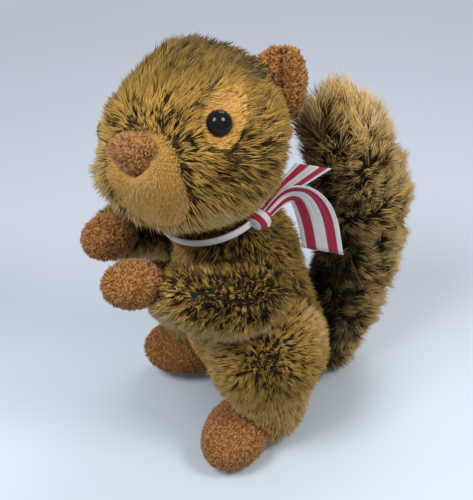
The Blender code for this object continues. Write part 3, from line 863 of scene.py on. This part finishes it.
class OBJECT_OT_squirrel_head(bpy.types.Operator):
    """Head: skin, long pile, and the short pile of the muzzle and the eye patches"""

    bl_idname = "object.squirrel_head"
    bl_label = "Head"

    def execute(self, context):
        size, tint = sizes(), colours()
        panels = ("muzzle_panel", "eye_patch_left", "eye_patch_right")
        frame_of = head_frame()
        deep, shallow = size.head_pile * HEAD_ROOTED, size.short_pile * SHORT_ROOTED
        backing = skin_look("pile_backing", (0.050, 0.030, 0.010), (0.46, 0.250, 0.058))

        nose_tree = tree_of("nose")
        ear_tree = tree_of("ear_left", "ear_right")

        def nose_gap(points):
            return np.linalg.norm(local(frame_of, points) - np.array(NOSE_TIP), axis=1)

        def trim(normals):
            way = normals @ np.array(frame_of)[:3, :3]
            way[:, 0] = np.abs(way[:, 0])
            return fade_in(way @ np.array(HEAD_TRIM), 0.72, 0.18)

        def depth_of(points, normals):
            long = deep * (0.45 + 0.55 * fade_in(nose_gap(points), 0.012, 0.012))
            long += HEAD_TRIM_DEPTH * trim(normals)
            long *= 1 - 0.75 * bell(nearest(ear_tree, points), 0.006)
            collar = NOSE_COLLAR * bell(nearest(nose_tree, points), 0.0035)
            return long + (shallow - long) * face_share(points, SKIN_EDGE) - collar

        skin, outer = under_skin("head_skin", ("head", *panels), 0.0030, backing, depth_of, face_share)
        finished(skin, ("head",))
        draw = np.random.default_rng(11)
        points, normals = outer.scattered(HEAD_TRIES, draw)
        clear = open_points(points, normals, ("torso", "ear_left", "ear_right", "nose"), 0.001)
        clear &= face_share(points) < 0.5
        pick = np.flatnonzero(clear)[:HEAD_STRANDS]
        p, n = points[pick], normals[pick]
        h = local(frame_of, p)
        x, y, z = h.T
        mirrored = np.stack([np.abs(x), y, z], axis=1)

        def comb_of(points):
            here = local(frame_of, points)
            low = fade_in(-here[:, 2], 0.0, 0.03)[:, None]
            flow = unit(here - np.array(NOSE_TIP)) + np.array((0.0, 0.25, 0.0))
            drop = np.array((0, 0, -0.5)) * low
            return world_way(frame_of, flow) + drop + ripple(points, 0.016, 5, 0.35)

        # Strands stand up and are short round the nose, and lie down over the skull
        gap = nose_gap(p)
        lean = 0.34 + 0.44 * fade_in(gap, 0.010, 0.020)
        lean -= 0.22 * blob(mirrored, (0.046, -0.024, -0.012), 0.022)
        length = size.head_pile * (0.52 + 0.48 * fade_in(gap, 0.008, 0.030))
        length *= 1 - 0.48 * patch_share(p, 0.012)
        far_brow = blob(h, (-0.030, -0.045, 0.012), 0.007)
        length *= 1 + 0.10 * far_brow
        lean -= 0.15 * far_brow
        length *= 1 - 0.40 * bell(nearest(ear_tree, p), 0.008)
        length *= draw.uniform(0.72, 1.12, len(p))
        length *= 1 - 0.15 * trim(n)
        root = p - n * depth_of(p, n)[:, None]
        comb = comb_of(p)
        guard = ("nose", "eye_left", "eye_right", "ear_left", "ear_right", "neck_ribbon")
        length = spared(guard, root, n, comb, length, lean)

        # Dark pile over the brow, a painted shadow along the fold above the nose; dark pile round the
        # muzzle and in the marks, and a pale rim on the far side
        brow_shadow = bell(z - 0.0125, 0.0032) * (y < -0.035) * (np.abs(x) < 0.026)
        streak = bell(z - 0.021, 0.008) * (y < -0.030) * (np.abs(x) < 0.022)
        dark = 0.035 + 0.34 * brow_shadow + 0.06 * streak
        dark += 1.3 * muzzle_share(p, 0.007) * (np.abs(z + 0.016) < 0.020)
        for centre, radius, share in HEAD_DARK:
            dark += share * blob(mirrored, centre, radius)
        tone = 0.59 + 0.05 * waves(p, 0.014, 21) + 0.05 * draw.normal(size=len(p))
        # Painted shade on the crown: the pile is toned darker towards the top, where the lamps light it
        # most
        tone -= 0.23 * np.clip((z - 0.026) / 0.016, -0.2, 1)
        rim = fade_in(-x, 0.022, 0.016) + 0.4 * fade_in(-z, 0.030, 0.014)
        tone += 0.40 * np.clip(rim, 0, 1)
        tone += 0.20 * blob(mirrored, (0.033, -0.033, -0.040), 0.011)
        dark *= fade_in(x, -0.034, 0.016)
        tone -= HEAD_DARK_DROP * patchy(p, 0.0024, np.clip(dark, 0, 0.85), 23)
        look = pile_look("golden_pile", shades(tint.dark, 0.08, 0.16, 0.40, 1.0), golden_tips(tint),
                         turn=(0.10, 0.62), sheen=0.03)
        pile = grow("head_pile", root, n, comb, length, tone, look, lean, width=size.strand * 1.1,
                    clump=0.0030, pull=0.20, spread=0.17, seed=31, mottle=0.10)
        finished(pile)

        short_look = short_pile_look("short_pile", tint)

        def muzzle_tone(points):
            here = local(frame_of, points)
            pale = blob(here, (0.004, -0.058, -0.014), 0.009)
            chin = fade_in(-here[:, 2], 0.026, 0.014)
            return 0.34 + 0.10 * waves(points, 0.009, 41) + 0.50 * pale + 0.34 * chin

        def patch_tone(points):
            return 0.56 + 0.12 * waves(points, 0.009, 43)

        for name, share_of, count, names, tone_of, seed in (
                ("muzzle_pile", muzzle_share, 7000, panels[:1], muzzle_tone, 44),
                ("eye_patch_pile", patch_share, 3600, panels[1:], patch_tone, 46)):
            shorn(name, outer, share_of, count, names, "short_golden_pile", short_look, size.short_pile,
                  comb_of, tone_of, ("nose", "neck_ribbon", "torso", "arm_left", "arm_right"),
                  ("nose", "eye_left", "eye_right"), seed, size.strand * 1.25, lean=0.75, clump=0.0022,
                  pull=0.25)
        return {"FINISHED"}


class OBJECT_OT_squirrel_body(bpy.types.Operator):
    """Torso, arms and legs with their pile, and the short pile of the belly"""

    bl_idname = "object.squirrel_body"
    bl_label = "Torso, arms and legs"

    def execute(self, context):
        size, tint = sizes(), colours()
        depth = size.body_pile * BODY_ROOTED
        look = pile_look("brown_pile", shades(tint.dark, 0.05, 0.10, 0.20, 0.45), golden_tips(tint),
                         turn=(0.30, 0.74), sheen=0.02)
        backing = skin_look("body_backing", (0.012, 0.008, 0.004), (0.20, 0.115, 0.035))
        strands = {"width": size.strand, "clump": 0.0028, "pull": 0.50, "spread": 0.24, "mottle": 0.14}

        # Painted shade: 1 on pile close to the named parts, where the pieces meet
        def crease(points, names):
            return bell(nearest(tree_of(*names), points), 0.0045)

        def torso_comb(points):
            return np.array((0.0, 0.0, -1.0)) + ripple(points, 0.018, 65, 0.45)

        def torso_tone(points, normals):
            # Painted shade where the torso meets the legs, arms and head
            near = crease(points, ("leg_left", "leg_right", "arm_left", "arm_right", "head"))
            return 0.59 + 0.06 * waves(points, 0.014, 61) - 0.22 * near

        def torso_dark(points, normals):
            return 0.22 - 0.10 * (normals[:, 1] > 0.5)

        outer = furred(
            "torso", ("torso", "belly_panel"),
            ("head", "leg_left", "leg_right", "arm_left", "arm_right", "tail"),
            ("neck_ribbon", "paw_left", "paw_right"), TORSO_STRANDS, depth, size.body_pile, look,
            backing, torso_comb, torso_tone, torso_dark, "golden_brown_pile", ("torso",), 60, 0.42,
            share_of=belly_share, panel_depth=size.short_pile * SHORT_ROOTED, voxel=0.0036, **strands)
        for side, word in ((-1, "right"), (1, "left")):
            shoulder = np.array((side * 0.038, -0.030, 0.130))

            def arm_comb(points):
                along = np.array((side * -0.10, -1.0, 0.15))
                flow = unit(points - shoulder) * 0.4 + along
                return flow + np.array((0, 0, -0.45)) + ripple(points, 0.014, 75, 0.4)

            # Cuff and underside are toned lighter with fewer dark strands: the pale cuff and fringe of
            # the sleeve, and on the underside also painted light against the shade under the arm
            def cuff_and_underside(points, normals):
                return fade_in(-points[:, 1], 0.086, 0.008), np.clip(0.10 - normals[:, 2], 0, 0.6)

            def arm_tone(points, normals):
                cuff, under = cuff_and_underside(points, normals)
                return 0.56 + 0.07 * waves(points, 0.012, 71) + 0.22 * cuff + 0.62 * under

            def arm_dark(points, normals):
                cuff, under = cuff_and_underside(points, normals)
                return np.clip(0.52 - 0.16 * cuff - 1.1 * under, 0.04, 1)

            furred("arm_" + word, ("arm_" + word,), ("torso", "head", "leg_" + word, "paw_" + word),
                   ("paw_" + word, "neck_ribbon"), ARM_STRANDS, depth * 0.85, size.body_pile, look,
                   backing, arm_comb, arm_tone, arm_dark, "golden_brown_pile", ("arm_" + word,),
                   70 + side, 0.36, voxel=0.0026, **strands)
            whorl = np.array((side * 0.076, -0.040, 0.088))

            def leg_comb(points):
                return unit(points - whorl) + ripple(points, 0.018, 85, 0.3) + np.array((0, 0, -0.15))

            def whorl_gap(points):
                return np.linalg.norm(points - whorl, axis=1)

            def leg_tone(points, normals):
                out = np.clip((whorl_gap(points) - 0.022) / 0.022, -0.3, 1)
                # Painted shade where the leg meets the torso and arm
                near = crease(points, ("torso", "arm_" + word))
                return 0.66 + 0.05 * waves(points, 0.014, 81) + 0.12 * out - 0.25 * near

            def leg_dark(points, normals):
                return 0.15 - 0.12 * fade_in(whorl_gap(points), 0.018, 0.022)

            def leg_lean(points):
                return 0.16 + 0.42 * fade_in(whorl_gap(points), 0.012, 0.030)

            furred("leg_" + word, ("leg_" + word,), ("torso", "arm_" + word, "foot_" + word, "tail"),
                   ("foot_" + word,), LEG_STRANDS, depth, size.body_pile, look, backing, leg_comb,
                   leg_tone, leg_dark, "golden_brown_pile", ("leg_" + word,), 80 + side, leg_lean,
                   **strands)

        def belly_tone(points):
            return 0.40 + 0.12 * waves(points, 0.010, 92)

        def belly_comb(points):
            return np.tile((0.0, 0.0, -1.0), (len(points), 1)) + ripple(points, 0.012, 93, 0.3)

        shorn("belly_pile", outer, belly_share, 3200, ("belly_panel",), "short_golden_pile",
              short_pile_look("belly_pile_look", tint), size.short_pile, belly_comb, belly_tone,
              ("head", "leg_left", "leg_right", "arm_left", "arm_right"), ("neck_ribbon",), 91,
              size.strand * 1.2, lean=0.55, clump=0.0020, pull=0.35)
        return {"FINISHED"}


class OBJECT_OT_squirrel_tail(bpy.types.Operator):
    """Tail with its long pile"""

    bl_idname = "object.squirrel_tail"
    bl_label = "Tail"

    def execute(self, context):
        size, tint = sizes(), colours()
        rows = np.array(TAIL_SPINE)
        steps = np.linalg.norm(np.diff(rows, axis=0), axis=1)
        along = np.concatenate([[0], np.cumsum(steps)]) / steps.sum()
        # The spine in even steps, from 0 at its foot to 1 at the tail's tip
        fine = np.linspace(0, 1, SPINE_STEPS)
        spine = np.stack([fine * 0, *(np.interp(fine, along, row) for row in rows.T)], axis=1)
        ahead = unit(np.gradient(spine, axis=0))
        look = pile_look("tail_pile_look", shades(tint.dark, 0.03, 0.05, 0.10, 0.20, 1.0),
                         shades(tint.tail, 0.03, 0.16, 0.70, 1.0, 1.18), turn=(0.36, 0.82), sheen=0.03)
        backing = skin_look("tail_backing", (0.008, 0.005, 0.003), (0.01, 0.007, 0.004))

        def at_spine(points):
            return np.argmin(np.linalg.norm(points[:, None, :] - spine[None], axis=2), axis=1)

        def corner(points):
            return blob(points, TAIL_CORNER, TAIL_CORNER_SIZE)

        def tail_comb(points):
            at = at_spine(points)
            rise = fine[at][:, None]
            flow = ahead[at] * (0.20 + 1.0 * rise**2) + np.array((0, 0, -0.50)) * (1 - rise)
            return flow + np.array((0, 0.25, 0)) + ripple(points, 0.013, 105, 0.6)

        def tail_tone(points, normals):
            rise = fine[at_spine(points)]
            back = normals[:, 1]
            front = np.clip(0.22 - back, 0, 1) * np.clip(1.12 - rise, 0, 1)
            low_end = np.clip(1 - 1.6 * rise, 0, 1) * np.clip(back + 0.4, 0, 1)
            tone = 0.60 + 0.10 * waves(points, 0.015, 101) + 0.14 * rise
            # Painted shade: the front of the tail, which faces the back of the body, is toned darker,
            # most of all low down
            return tone + (0.32 - 0.10 * rise) * np.clip(back, 0, 1) + 0.20 * low_end - 0.50 * front

        def tail_dark(points, normals):
            return 0.30 - 0.28 * np.clip(normals[:, 1] + 0.2, 0, 1)

        def tail_long(points):
            rise = fine[at_spine(points)]
            return 0.95 + 0.65 * fade_in(rise, 0.82, 0.12) * np.clip(1.0 - 1.4 * corner(points), 0, 1)

        def tail_sunk(points):
            return TAIL_CORNER_DEPTH * corner(points)

        furred("tail", ("tail",), ("torso", "leg_left", "leg_right"), ("neck_ribbon",), TAIL_STRANDS,
               size.tail_pile * TAIL_ROOTED, size.tail_pile, look, backing, tail_comb, tail_tone,
               tail_dark, "dark_long_pile", ("tail",), 100, 0.66, voxel=0.0040, grain=0.0040,
               long_of=tail_long, sunk_of=tail_sunk, width=size.strand * 1.05, clump=0.0044, pull=0.62,
               spread=0.30, mottle=0.14)
        return {"FINISHED"}


def nubs(points, seed):
    """Curls of terry: from -1 between them to 1 on top of them."""
    return np.clip(waves(points, NUB_SIZE, seed, 14) * 1.2, -1, 1)


def shaped_nose(made):
    """Spread the nose sideways and set it back into the muzzle."""
    place = head_frame()
    h = local(place, read_vertices(made.data))
    middle = h.mean(axis=0)
    wanted = middle + (h - middle) * np.array(NOSE_SPREAD) + np.array((0.0, NOSE_SET_BACK, 0.0))
    moved(made, world_way(place, wanted - h))


def ear_crease(points):
    """1 along the crease that folds an ear in two, fading beside it."""
    h = local(head_frame(), points)
    h[:, 0] = np.abs(h[:, 0])
    found = np.full(len(points), 1.0)
    rows = np.array(EAR_CREASE)
    for a, b in zip(rows, rows[1:]):
        share = np.clip((h - a) @ (b - a) / np.dot(b - a, b - a), 0, 1)[:, None]
        found = np.minimum(found, np.linalg.norm(h - a - share * (b - a), axis=1))
    return bell(found, EAR_CREASE_WIDTH)


def shaped_ear(made):
    """Press the crease into an ear and draw its lower end in towards the head."""
    place = head_frame()
    points, normals = read_vertices(made.data), read_normals(made.data)
    h = local(place, points)
    low = np.clip((EAR_TAPER_FROM - h[:, 2]) / EAR_TAPER_FROM, 0, 1.4)
    drawn = np.stack([-np.sign(h[:, 0]) * low, np.zeros(len(h)), low * 0.5], axis=1) * EAR_TAPER
    pressed = normals * (ear_crease(points) * EAR_CREASE_DEPTH)[:, None]
    moved(made, world_way(place, drawn) - pressed)


class OBJECT_OT_squirrel_terry(bpy.types.Operator):
    """Nose, ears, paws and feet in terry"""

    bl_idname = "object.squirrel_terry"
    bl_label = "Nose, ears, paws and feet"

    def execute(self, context):
        size, tint = sizes(), colours()
        look = pile_look("terry_loops", shades(tint.terry, 0.14, 0.32, 0.62),
                         shades(tint.terry, 0.45, 1.0, 1.07), turn=(0.05, 0.75))
        ground = Look("terry_ground", roughness=0.95)
        grain = ground.noise(520.0, 3.0)
        dim, pale = (tuple(c * share for c in tint.terry) for share in (0.16, 0.62))
        ground.feed("Base Color", ground.mixed(grain, dim, pale))
        ground.bump(grain, 0.0006)
        for k, (name, count, voxel, painted_light) in enumerate(TERRY_PIECES):
            made = remeshed(name + "_skin", (name,), voxel, 2)
            if name == "nose":
                shaped_nose(made)
            if name.startswith("ear"):
                shaped_ear(made)
            outer = Cloth(made.data)
            lumps = nubs(outer.points, 120 + k) * NUB_HEIGHT
            moved(made, outer.normals * (lumps - size.terry_pile * 0.48)[:, None])
            finished(dressed(made, ground.material), (name,))
            draw = np.random.default_rng(130 + k)
            points, normals = outer.scattered(count, draw)
            lengths = size.terry_pile * draw.uniform(0.7, 1.2, count)
            # Painted shade: curls on top of the nubs are toned lighter and those in the hollows between
            # them darker
            tops = nubs(points, 120 + k)
            tones = 0.5 + 0.10 * waves(points, 0.006, 140 + k) + 0.09 * draw.normal(size=count)
            # Painted light: each piece is toned lighter or darker by how it is lit
            tones += 0.38 * tops + painted_light
            # Painted shade along the crease of each ear
            if name.startswith("ear"):
                tones -= 0.55 * ear_crease(points)
            combs = ripple(points, 0.0025, 150 + k, 1.0) + 1e-3
            roots = points + normals * (tops * CURL_LIFT - size.terry_pile * 0.55)[:, None]
            curls = bristle(name + "_terry", roots, normals, combs, lengths, tones, look, lean=0.70,
                            width=CURL_WIDTH, clump=0.0015, pull=0.50, seed=160 + k)
            finished(curls)
        return {"FINISHED"}


class OBJECT_OT_squirrel_eyes(bpy.types.Operator):
    """Black domed eyes"""

    bl_idname = "object.squirrel_eyes"
    bl_label = "Eyes"

    def execute(self, context):
        gloss = Look("black_eye", specular=0.20, roughness=0.05)
        haze = gloss.noise(60.0, 2.0)
        gloss.feed("Base Color", gloss.mixed(haze, (0.003, 0.003, 0.004), (0.007, 0.006, 0.006)))
        clear = Look("washer_plastic", roughness=0.35)
        cloud = clear.noise(120.0, 2.0)
        clear.feed("Base Color", clear.mixed(cloud, (0.70, 0.70, 0.67), (0.80, 0.80, 0.77)))
        for word in ("left", "right"):
            mesh = mesh_from(node_mesh("eye_" + word), "eye_dome_" + word, smooth=True)
            made = dressed(placed("eye_dome_" + word, mesh), gloss.material)
            middle = read_vertices(mesh).mean(axis=0)
            inward = unit(np.array(HEAD_CENTRE) - middle) * EYE_SINK[word]
            moved(made, (read_vertices(mesh) - middle) * 0.08 + inward)
            fine = made.modifiers.new("round", "SUBSURF")
            fine.levels = fine.render_levels = 2
            finished(made, ("eye_" + word,))
            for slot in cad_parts["eye_washer_" + word].material_slots:
                slot.material = clear.material
        return {"FINISHED"}


def ribbon_look(name, length, tint):
    """Grosgrain: fine ribs across it and two stripes along it, laid by the piece's own map."""
    look = Look(name, roughness=0.62, sheen_weight=0.06, sheen_roughness=0.4)
    along, across = look.laid()
    rib = (along * (length / RIB_PITCH * 2 * math.pi)).sine() * 0.5 + 0.5
    stripes = 0.0
    for start, end in STRIPES:
        stripe = across.between(start, start + STRIPE_EDGE) - across.between(end, end + STRIPE_EDGE)
        stripes = stripes + stripe
    cloth = look.mixed(stripes.clamped(), tuple(tint.ribbon), tuple(tint.stripe))
    # Painted shade in the ribs: the colour darkens and lightens with each rib, beside its bump
    look.feed("Base Color", look.mixed(rib * 0.25, cloth, (0.25, 0.20, 0.20), "MULTIPLY"))
    look.bump(rib, 0.00012, 0.6)
    return look.material


def folded_away(v):
    """Place across the neck band, whose middle faces out and whose sides fold behind it."""
    flat = (v - 0.5) * RIBBON_WIDTH
    half = BAND_FOLD / 2
    reach = abs(flat)
    if reach <= half:
        return flat, FOLD_GAP * 2
    over = reach - half
    turns = over / BAND_FOLD
    layer = int(turns)
    inside = over - layer * BAND_FOLD
    place = half - inside if layer % 2 == 0 else inside - half
    return math.copysign(place, flat), FOLD_GAP * (1 - layer) - (FOLD_OFFSET if flat < 0 else 0.0)


def between_rows(rows, count):
    """Points along a smooth curve through the rows."""
    rows = np.array(rows, float)
    padded = np.vstack([2 * rows[0] - rows[1], rows, 2 * rows[-1] - rows[-2]])
    places = np.linspace(0, len(rows) - 1, count)
    found = []
    for place in places:
        k = min(int(place), len(rows) - 2)
        t = place - k
        a, b, c, d = padded[k:k + 4]
        found.append(0.5 * (2 * b + (c - a) * t + (2 * a - 5 * b + 4 * c - d) * t**2
                            + (3 * b - a - 3 * c + d) * t**3))
    return np.array(found)


def ribbon_piece(name, work, look):
    made = dressed(placed(name, mesh_from(work, name, smooth=True)), look)
    made.data.uv_layers[0].name = MAP
    return made


class OBJECT_OT_squirrel_ribbon(bpy.types.Operator):
    """Striped ribbon: one strip from a cut end through the knot and round the neck to the other end"""

    bl_idname = "object.squirrel_ribbon"
    bl_label = "Ribbon"

    def execute(self, context):
        tint = colours()
        slope = Matrix.Rotation(NECK_SLOPE, 3, "X")
        centre = Vector(NECK_CENTRE)
        toward = Vector((math.sin(KNOT_TURN), -math.cos(KNOT_TURN), 0.0))
        knot_at = centre + slope @ toward * (NECK_RADIUS + KNOT_RADII[1] / 2)
        gathered = BAND_WIDTH / RIBBON_WIDTH
        first = math.atan2(toward.y, toward.x)
        ring = []
        for k in range(RING_ROWS):
            turned = BAND_OPENING + (1 - 2 * BAND_OPENING) * k / (RING_ROWS - 1)
            angle = first + 2 * math.pi * turned
            out = slope @ Vector((math.cos(angle), math.sin(angle), 0.0))
            place = centre + out * (NECK_RADIUS + BAND_PROUD)
            ring.append((*place, *(slope @ Vector((0.0, 0.0, 1.0))), gathered))
        ends = []
        for path, out in ((UPPER_TAIL, -1), (LOWER_TAIL, 1)):
            start = knot_at + Vector((KNOT_RADII[0] / 4 * out, 0.0, 0.0))
            ends.append(between_rows([(*start, *KNOT_EXIT, gathered), *path], END_ROWS))
        # All rows of the strip in order: their places, the ways across and the shares of the width
        rows = np.vstack([ends[0][::-1], ring, ends[1]])
        places, widths, shares = rows[:, :3], rows[:, 3:6], np.clip(rows[:, 6], gathered, 1.0)
        steps = np.linalg.norm(np.diff(places, axis=0), axis=1)
        length = float(steps.sum())
        ahead = unit(np.gradient(places, axis=0))
        widths = unit(widths - ahead * np.sum(ahead * widths, axis=1, keepdims=True))
        fronts = np.cross(ahead, widths)
        run = np.concatenate([[0], np.cumsum(steps)]) / length

        last = len(rows) - 1
        work = bmesh.new()
        bmesh.ops.create_grid(
            work, x_segments=last, y_segments=4 * RIBBON_FOLDS, size=0.5, calc_uvs=True)
        chart = work.loops.layers.uv.verify()
        half_fold = RIBBON_WIDTH / RIBBON_FOLDS / 2
        for vertex in work.verts:
            k = round((vertex.co.x + 0.5) * last)
            v = vertex.co.y + 0.5
            share = shares[k]
            wave = abs(2 * ((v * RIBBON_FOLDS) % 1) - 1) * 2 - 1
            rise = half_fold / 2 * math.sqrt(max(0.0, 1 - share**2)) * wave
            across_it = (v - 0.5) * RIBBON_WIDTH * share
            if END_ROWS <= k < END_ROWS + RING_ROWS:
                across_it, rise = folded_away(v)
            place = places[k] + widths[k] * across_it + fronts[k] * rise
            slant = LOWER_SLANT * max(0.0, 1 - (last - k) / CUT_ROWS)
            slant -= UPPER_SLANT * max(0.0, 1 - k / CUT_ROWS)
            vertex.co = Vector(place + ahead[k] * slant * (2 * v - 1))
            for loop in vertex.link_loops:
                loop[chart].uv = (float(run[k]), v)
        made = ribbon_piece("neck_ribbon_cloth", work, ribbon_look("ribbon_cloth", length, tint))
        thick = made.modifiers.new("cloth", "SOLIDIFY")
        thick.thickness = RIBBON_THICKNESS
        thick.offset = 0.0
        finished(made, ("neck_ribbon",))

        work = bmesh.new()
        bmesh.ops.create_uvsphere(work, u_segments=KNOT_SEGMENTS[0], v_segments=KNOT_SEGMENTS[1],
                                  radius=1.0, calc_uvs=True)
        chart = work.loops.layers.uv.verify()
        pass_way = Vector(np.cross(toward, (0, 0, 1))).normalized()
        turn = (slope @ Matrix((pass_way, toward, Vector((0, 0, 1)))).transposed()).to_4x4()
        for vertex in work.verts:
            side, out, rise = vertex.co.z, vertex.co.x, vertex.co.y
            crease = 1 + 0.05 * math.cos(side * 16.0) + 0.06 * side * out
            for loop in vertex.link_loops:
                loop[chart].uv = ((math.atan2(rise, out) / (2 * math.pi)) % 1.0, 0.5 + 0.5 * side)
            flat = Vector((side * KNOT_RADII[0] * 1.08, out * KNOT_RADII[1] * crease,
                           rise * KNOT_RADII[2] * crease * 1.10))
            vertex.co = Matrix.Translation(knot_at) @ turn @ flat
        bmesh.ops.recalc_face_normals(work, faces=work.faces[:])
        knot = ribbon_piece("neck_ribbon_knot", work, ribbon_look("ribbon_knot_cloth", KNOT_CLOTH, tint))
        finished(knot)
        return {"FINISHED"}


class OBJECT_OT_squirrel_stage(bpy.types.Operator):
    """Floor, lights and camera"""

    bl_idname = "object.squirrel_stage"
    bl_label = "Floor, lights and camera"

    def execute(self, context):
        scene = context.scene
        tint = colours()
        work = bmesh.new()
        bmesh.ops.create_grid(work, x_segments=2, y_segments=2, size=FLOOR_HALF)
        paper = Look("floor_paper", roughness=0.9)
        place = paper.place()
        x, y = paper.halves(place)
        back = (x * -math.sin(CAMERA_TURN) + y * math.cos(CAMERA_TURN)).between(*FLOOR_TURN)
        paper.feed("Base Color", paper.mixed(back, tuple(tint.floor), tuple(tint.wall)))
        far = paper.node("ShaderNodeVectorMath", {"operation": "LENGTH"}, {0: place}, output=1)
        seen = paper.node("ShaderNodeLightPath")
        glow = paper.node("ShaderNodeEmission", {}, {"Color": (*tint.wall, 1.0)})
        either = paper.node("ShaderNodeMixShader", {}, {"Fac": far.between(*FLOOR_FADE) * seen, 2: glow})
        paper.tree.links.new(paper.shader.outputs[0], either.socket.node.inputs[1])
        paper.tree.links.new(either.socket, paper.tree.nodes["Material Output"].inputs["Surface"])
        floor = dressed(placed("floor", mesh_from(work, "floor")), paper.material)
        floor.location.z = -FLOOR_DROP
        for name, turn, rise, away, width, energy, colour in LAMPS:
            data = bpy.data.lights.new(name, "AREA")
            data.shape = "DISK"
            data.size = width
            data.energy = energy
            data.color = colour
            lamp = placed(name, data)
            a, e = math.radians(turn), math.radians(rise)
            spot = Vector((math.sin(a) * math.cos(e), -math.cos(a) * math.cos(e), math.sin(e))) * away
            lamp.location = spot + Vector((0, 0, LAMP_AIM))
            lamp.rotation_mode = "QUATERNION"
            lamp.rotation_quaternion = (-spot).to_track_quat("-Z", "Y")
        world = bpy.data.worlds.new("studio")
        world.use_nodes = True
        tree = world.node_tree
        light = tree.nodes["Background"]
        light.inputs["Color"].default_value = (*SKY_COLOUR, 1.0)
        light.inputs["Strength"].default_value = SKY_STRENGTH
        shown = tree.nodes.new("ShaderNodeBackground")
        shown.inputs["Color"].default_value = (*tint.wall, 1.0)
        rays = tree.nodes.new("ShaderNodeLightPath")
        either = tree.nodes.new("ShaderNodeMixShader")
        for k, socket in enumerate((rays.outputs["Is Camera Ray"], light.outputs[0], shown.outputs[0])):
            tree.links.new(socket, either.inputs[k])
        tree.links.new(either.outputs[0], tree.nodes["World Output"].inputs["Surface"])
        scene.world = world
        data = bpy.data.cameras.new("camera")
        data.sensor_width = 36.0
        data.lens = CAMERA_LENS
        data.clip_start = 0.01
        camera = placed("camera", data)
        camera.location = CAMERA_AT
        camera.rotation_euler = (math.radians(90) - CAMERA_DROP, 0.0, CAMERA_TURN)
        scene.camera = camera
        scene.view_settings.view_transform = "Standard"
        return {"FINISHED"}


class VIEW3D_PT_squirrel(bpy.types.Panel):
    """Lists the squirrel's pieces"""

    bl_idname = "VIEW3D_PT_squirrel"
    bl_label = "Plush squirrel"
    bl_space_type = "VIEW_3D"
    bl_region_type = "UI"
    bl_category = "Squirrel"

    def draw(self, context):
        for group in (context.scene.squirrel_pile, context.scene.squirrel_colours):
            for name in group.__annotations__:
                self.layout.prop(group, name)
        for step in STEPS:
            self.layout.operator(step.bl_idname)


STEPS = (
    OBJECT_OT_squirrel_stage,
    OBJECT_OT_squirrel_head,
    OBJECT_OT_squirrel_body,
    OBJECT_OT_squirrel_tail,
    OBJECT_OT_squirrel_terry,
    OBJECT_OT_squirrel_eyes,
    OBJECT_OT_squirrel_ribbon,
)
CLASSES = (PileSizes, PileColours, *STEPS, VIEW3D_PT_squirrel)


def register():
    for kind in CLASSES:
        bpy.utils.register_class(kind)
    bpy.types.Scene.squirrel_pile = bpy.props.PointerProperty(type=PileSizes)
    bpy.types.Scene.squirrel_colours = bpy.props.PointerProperty(type=PileColours)


def unregister():
    del bpy.types.Scene.squirrel_colours
    del bpy.types.Scene.squirrel_pile
    for kind in reversed(CLASSES):
        bpy.utils.unregister_class(kind)


def main():
    register()
    for step in STEPS:
        group, name = step.bl_idname.split(".")
        getattr(getattr(bpy.ops, group), name)()


if __name__ == "__main__":
    main()
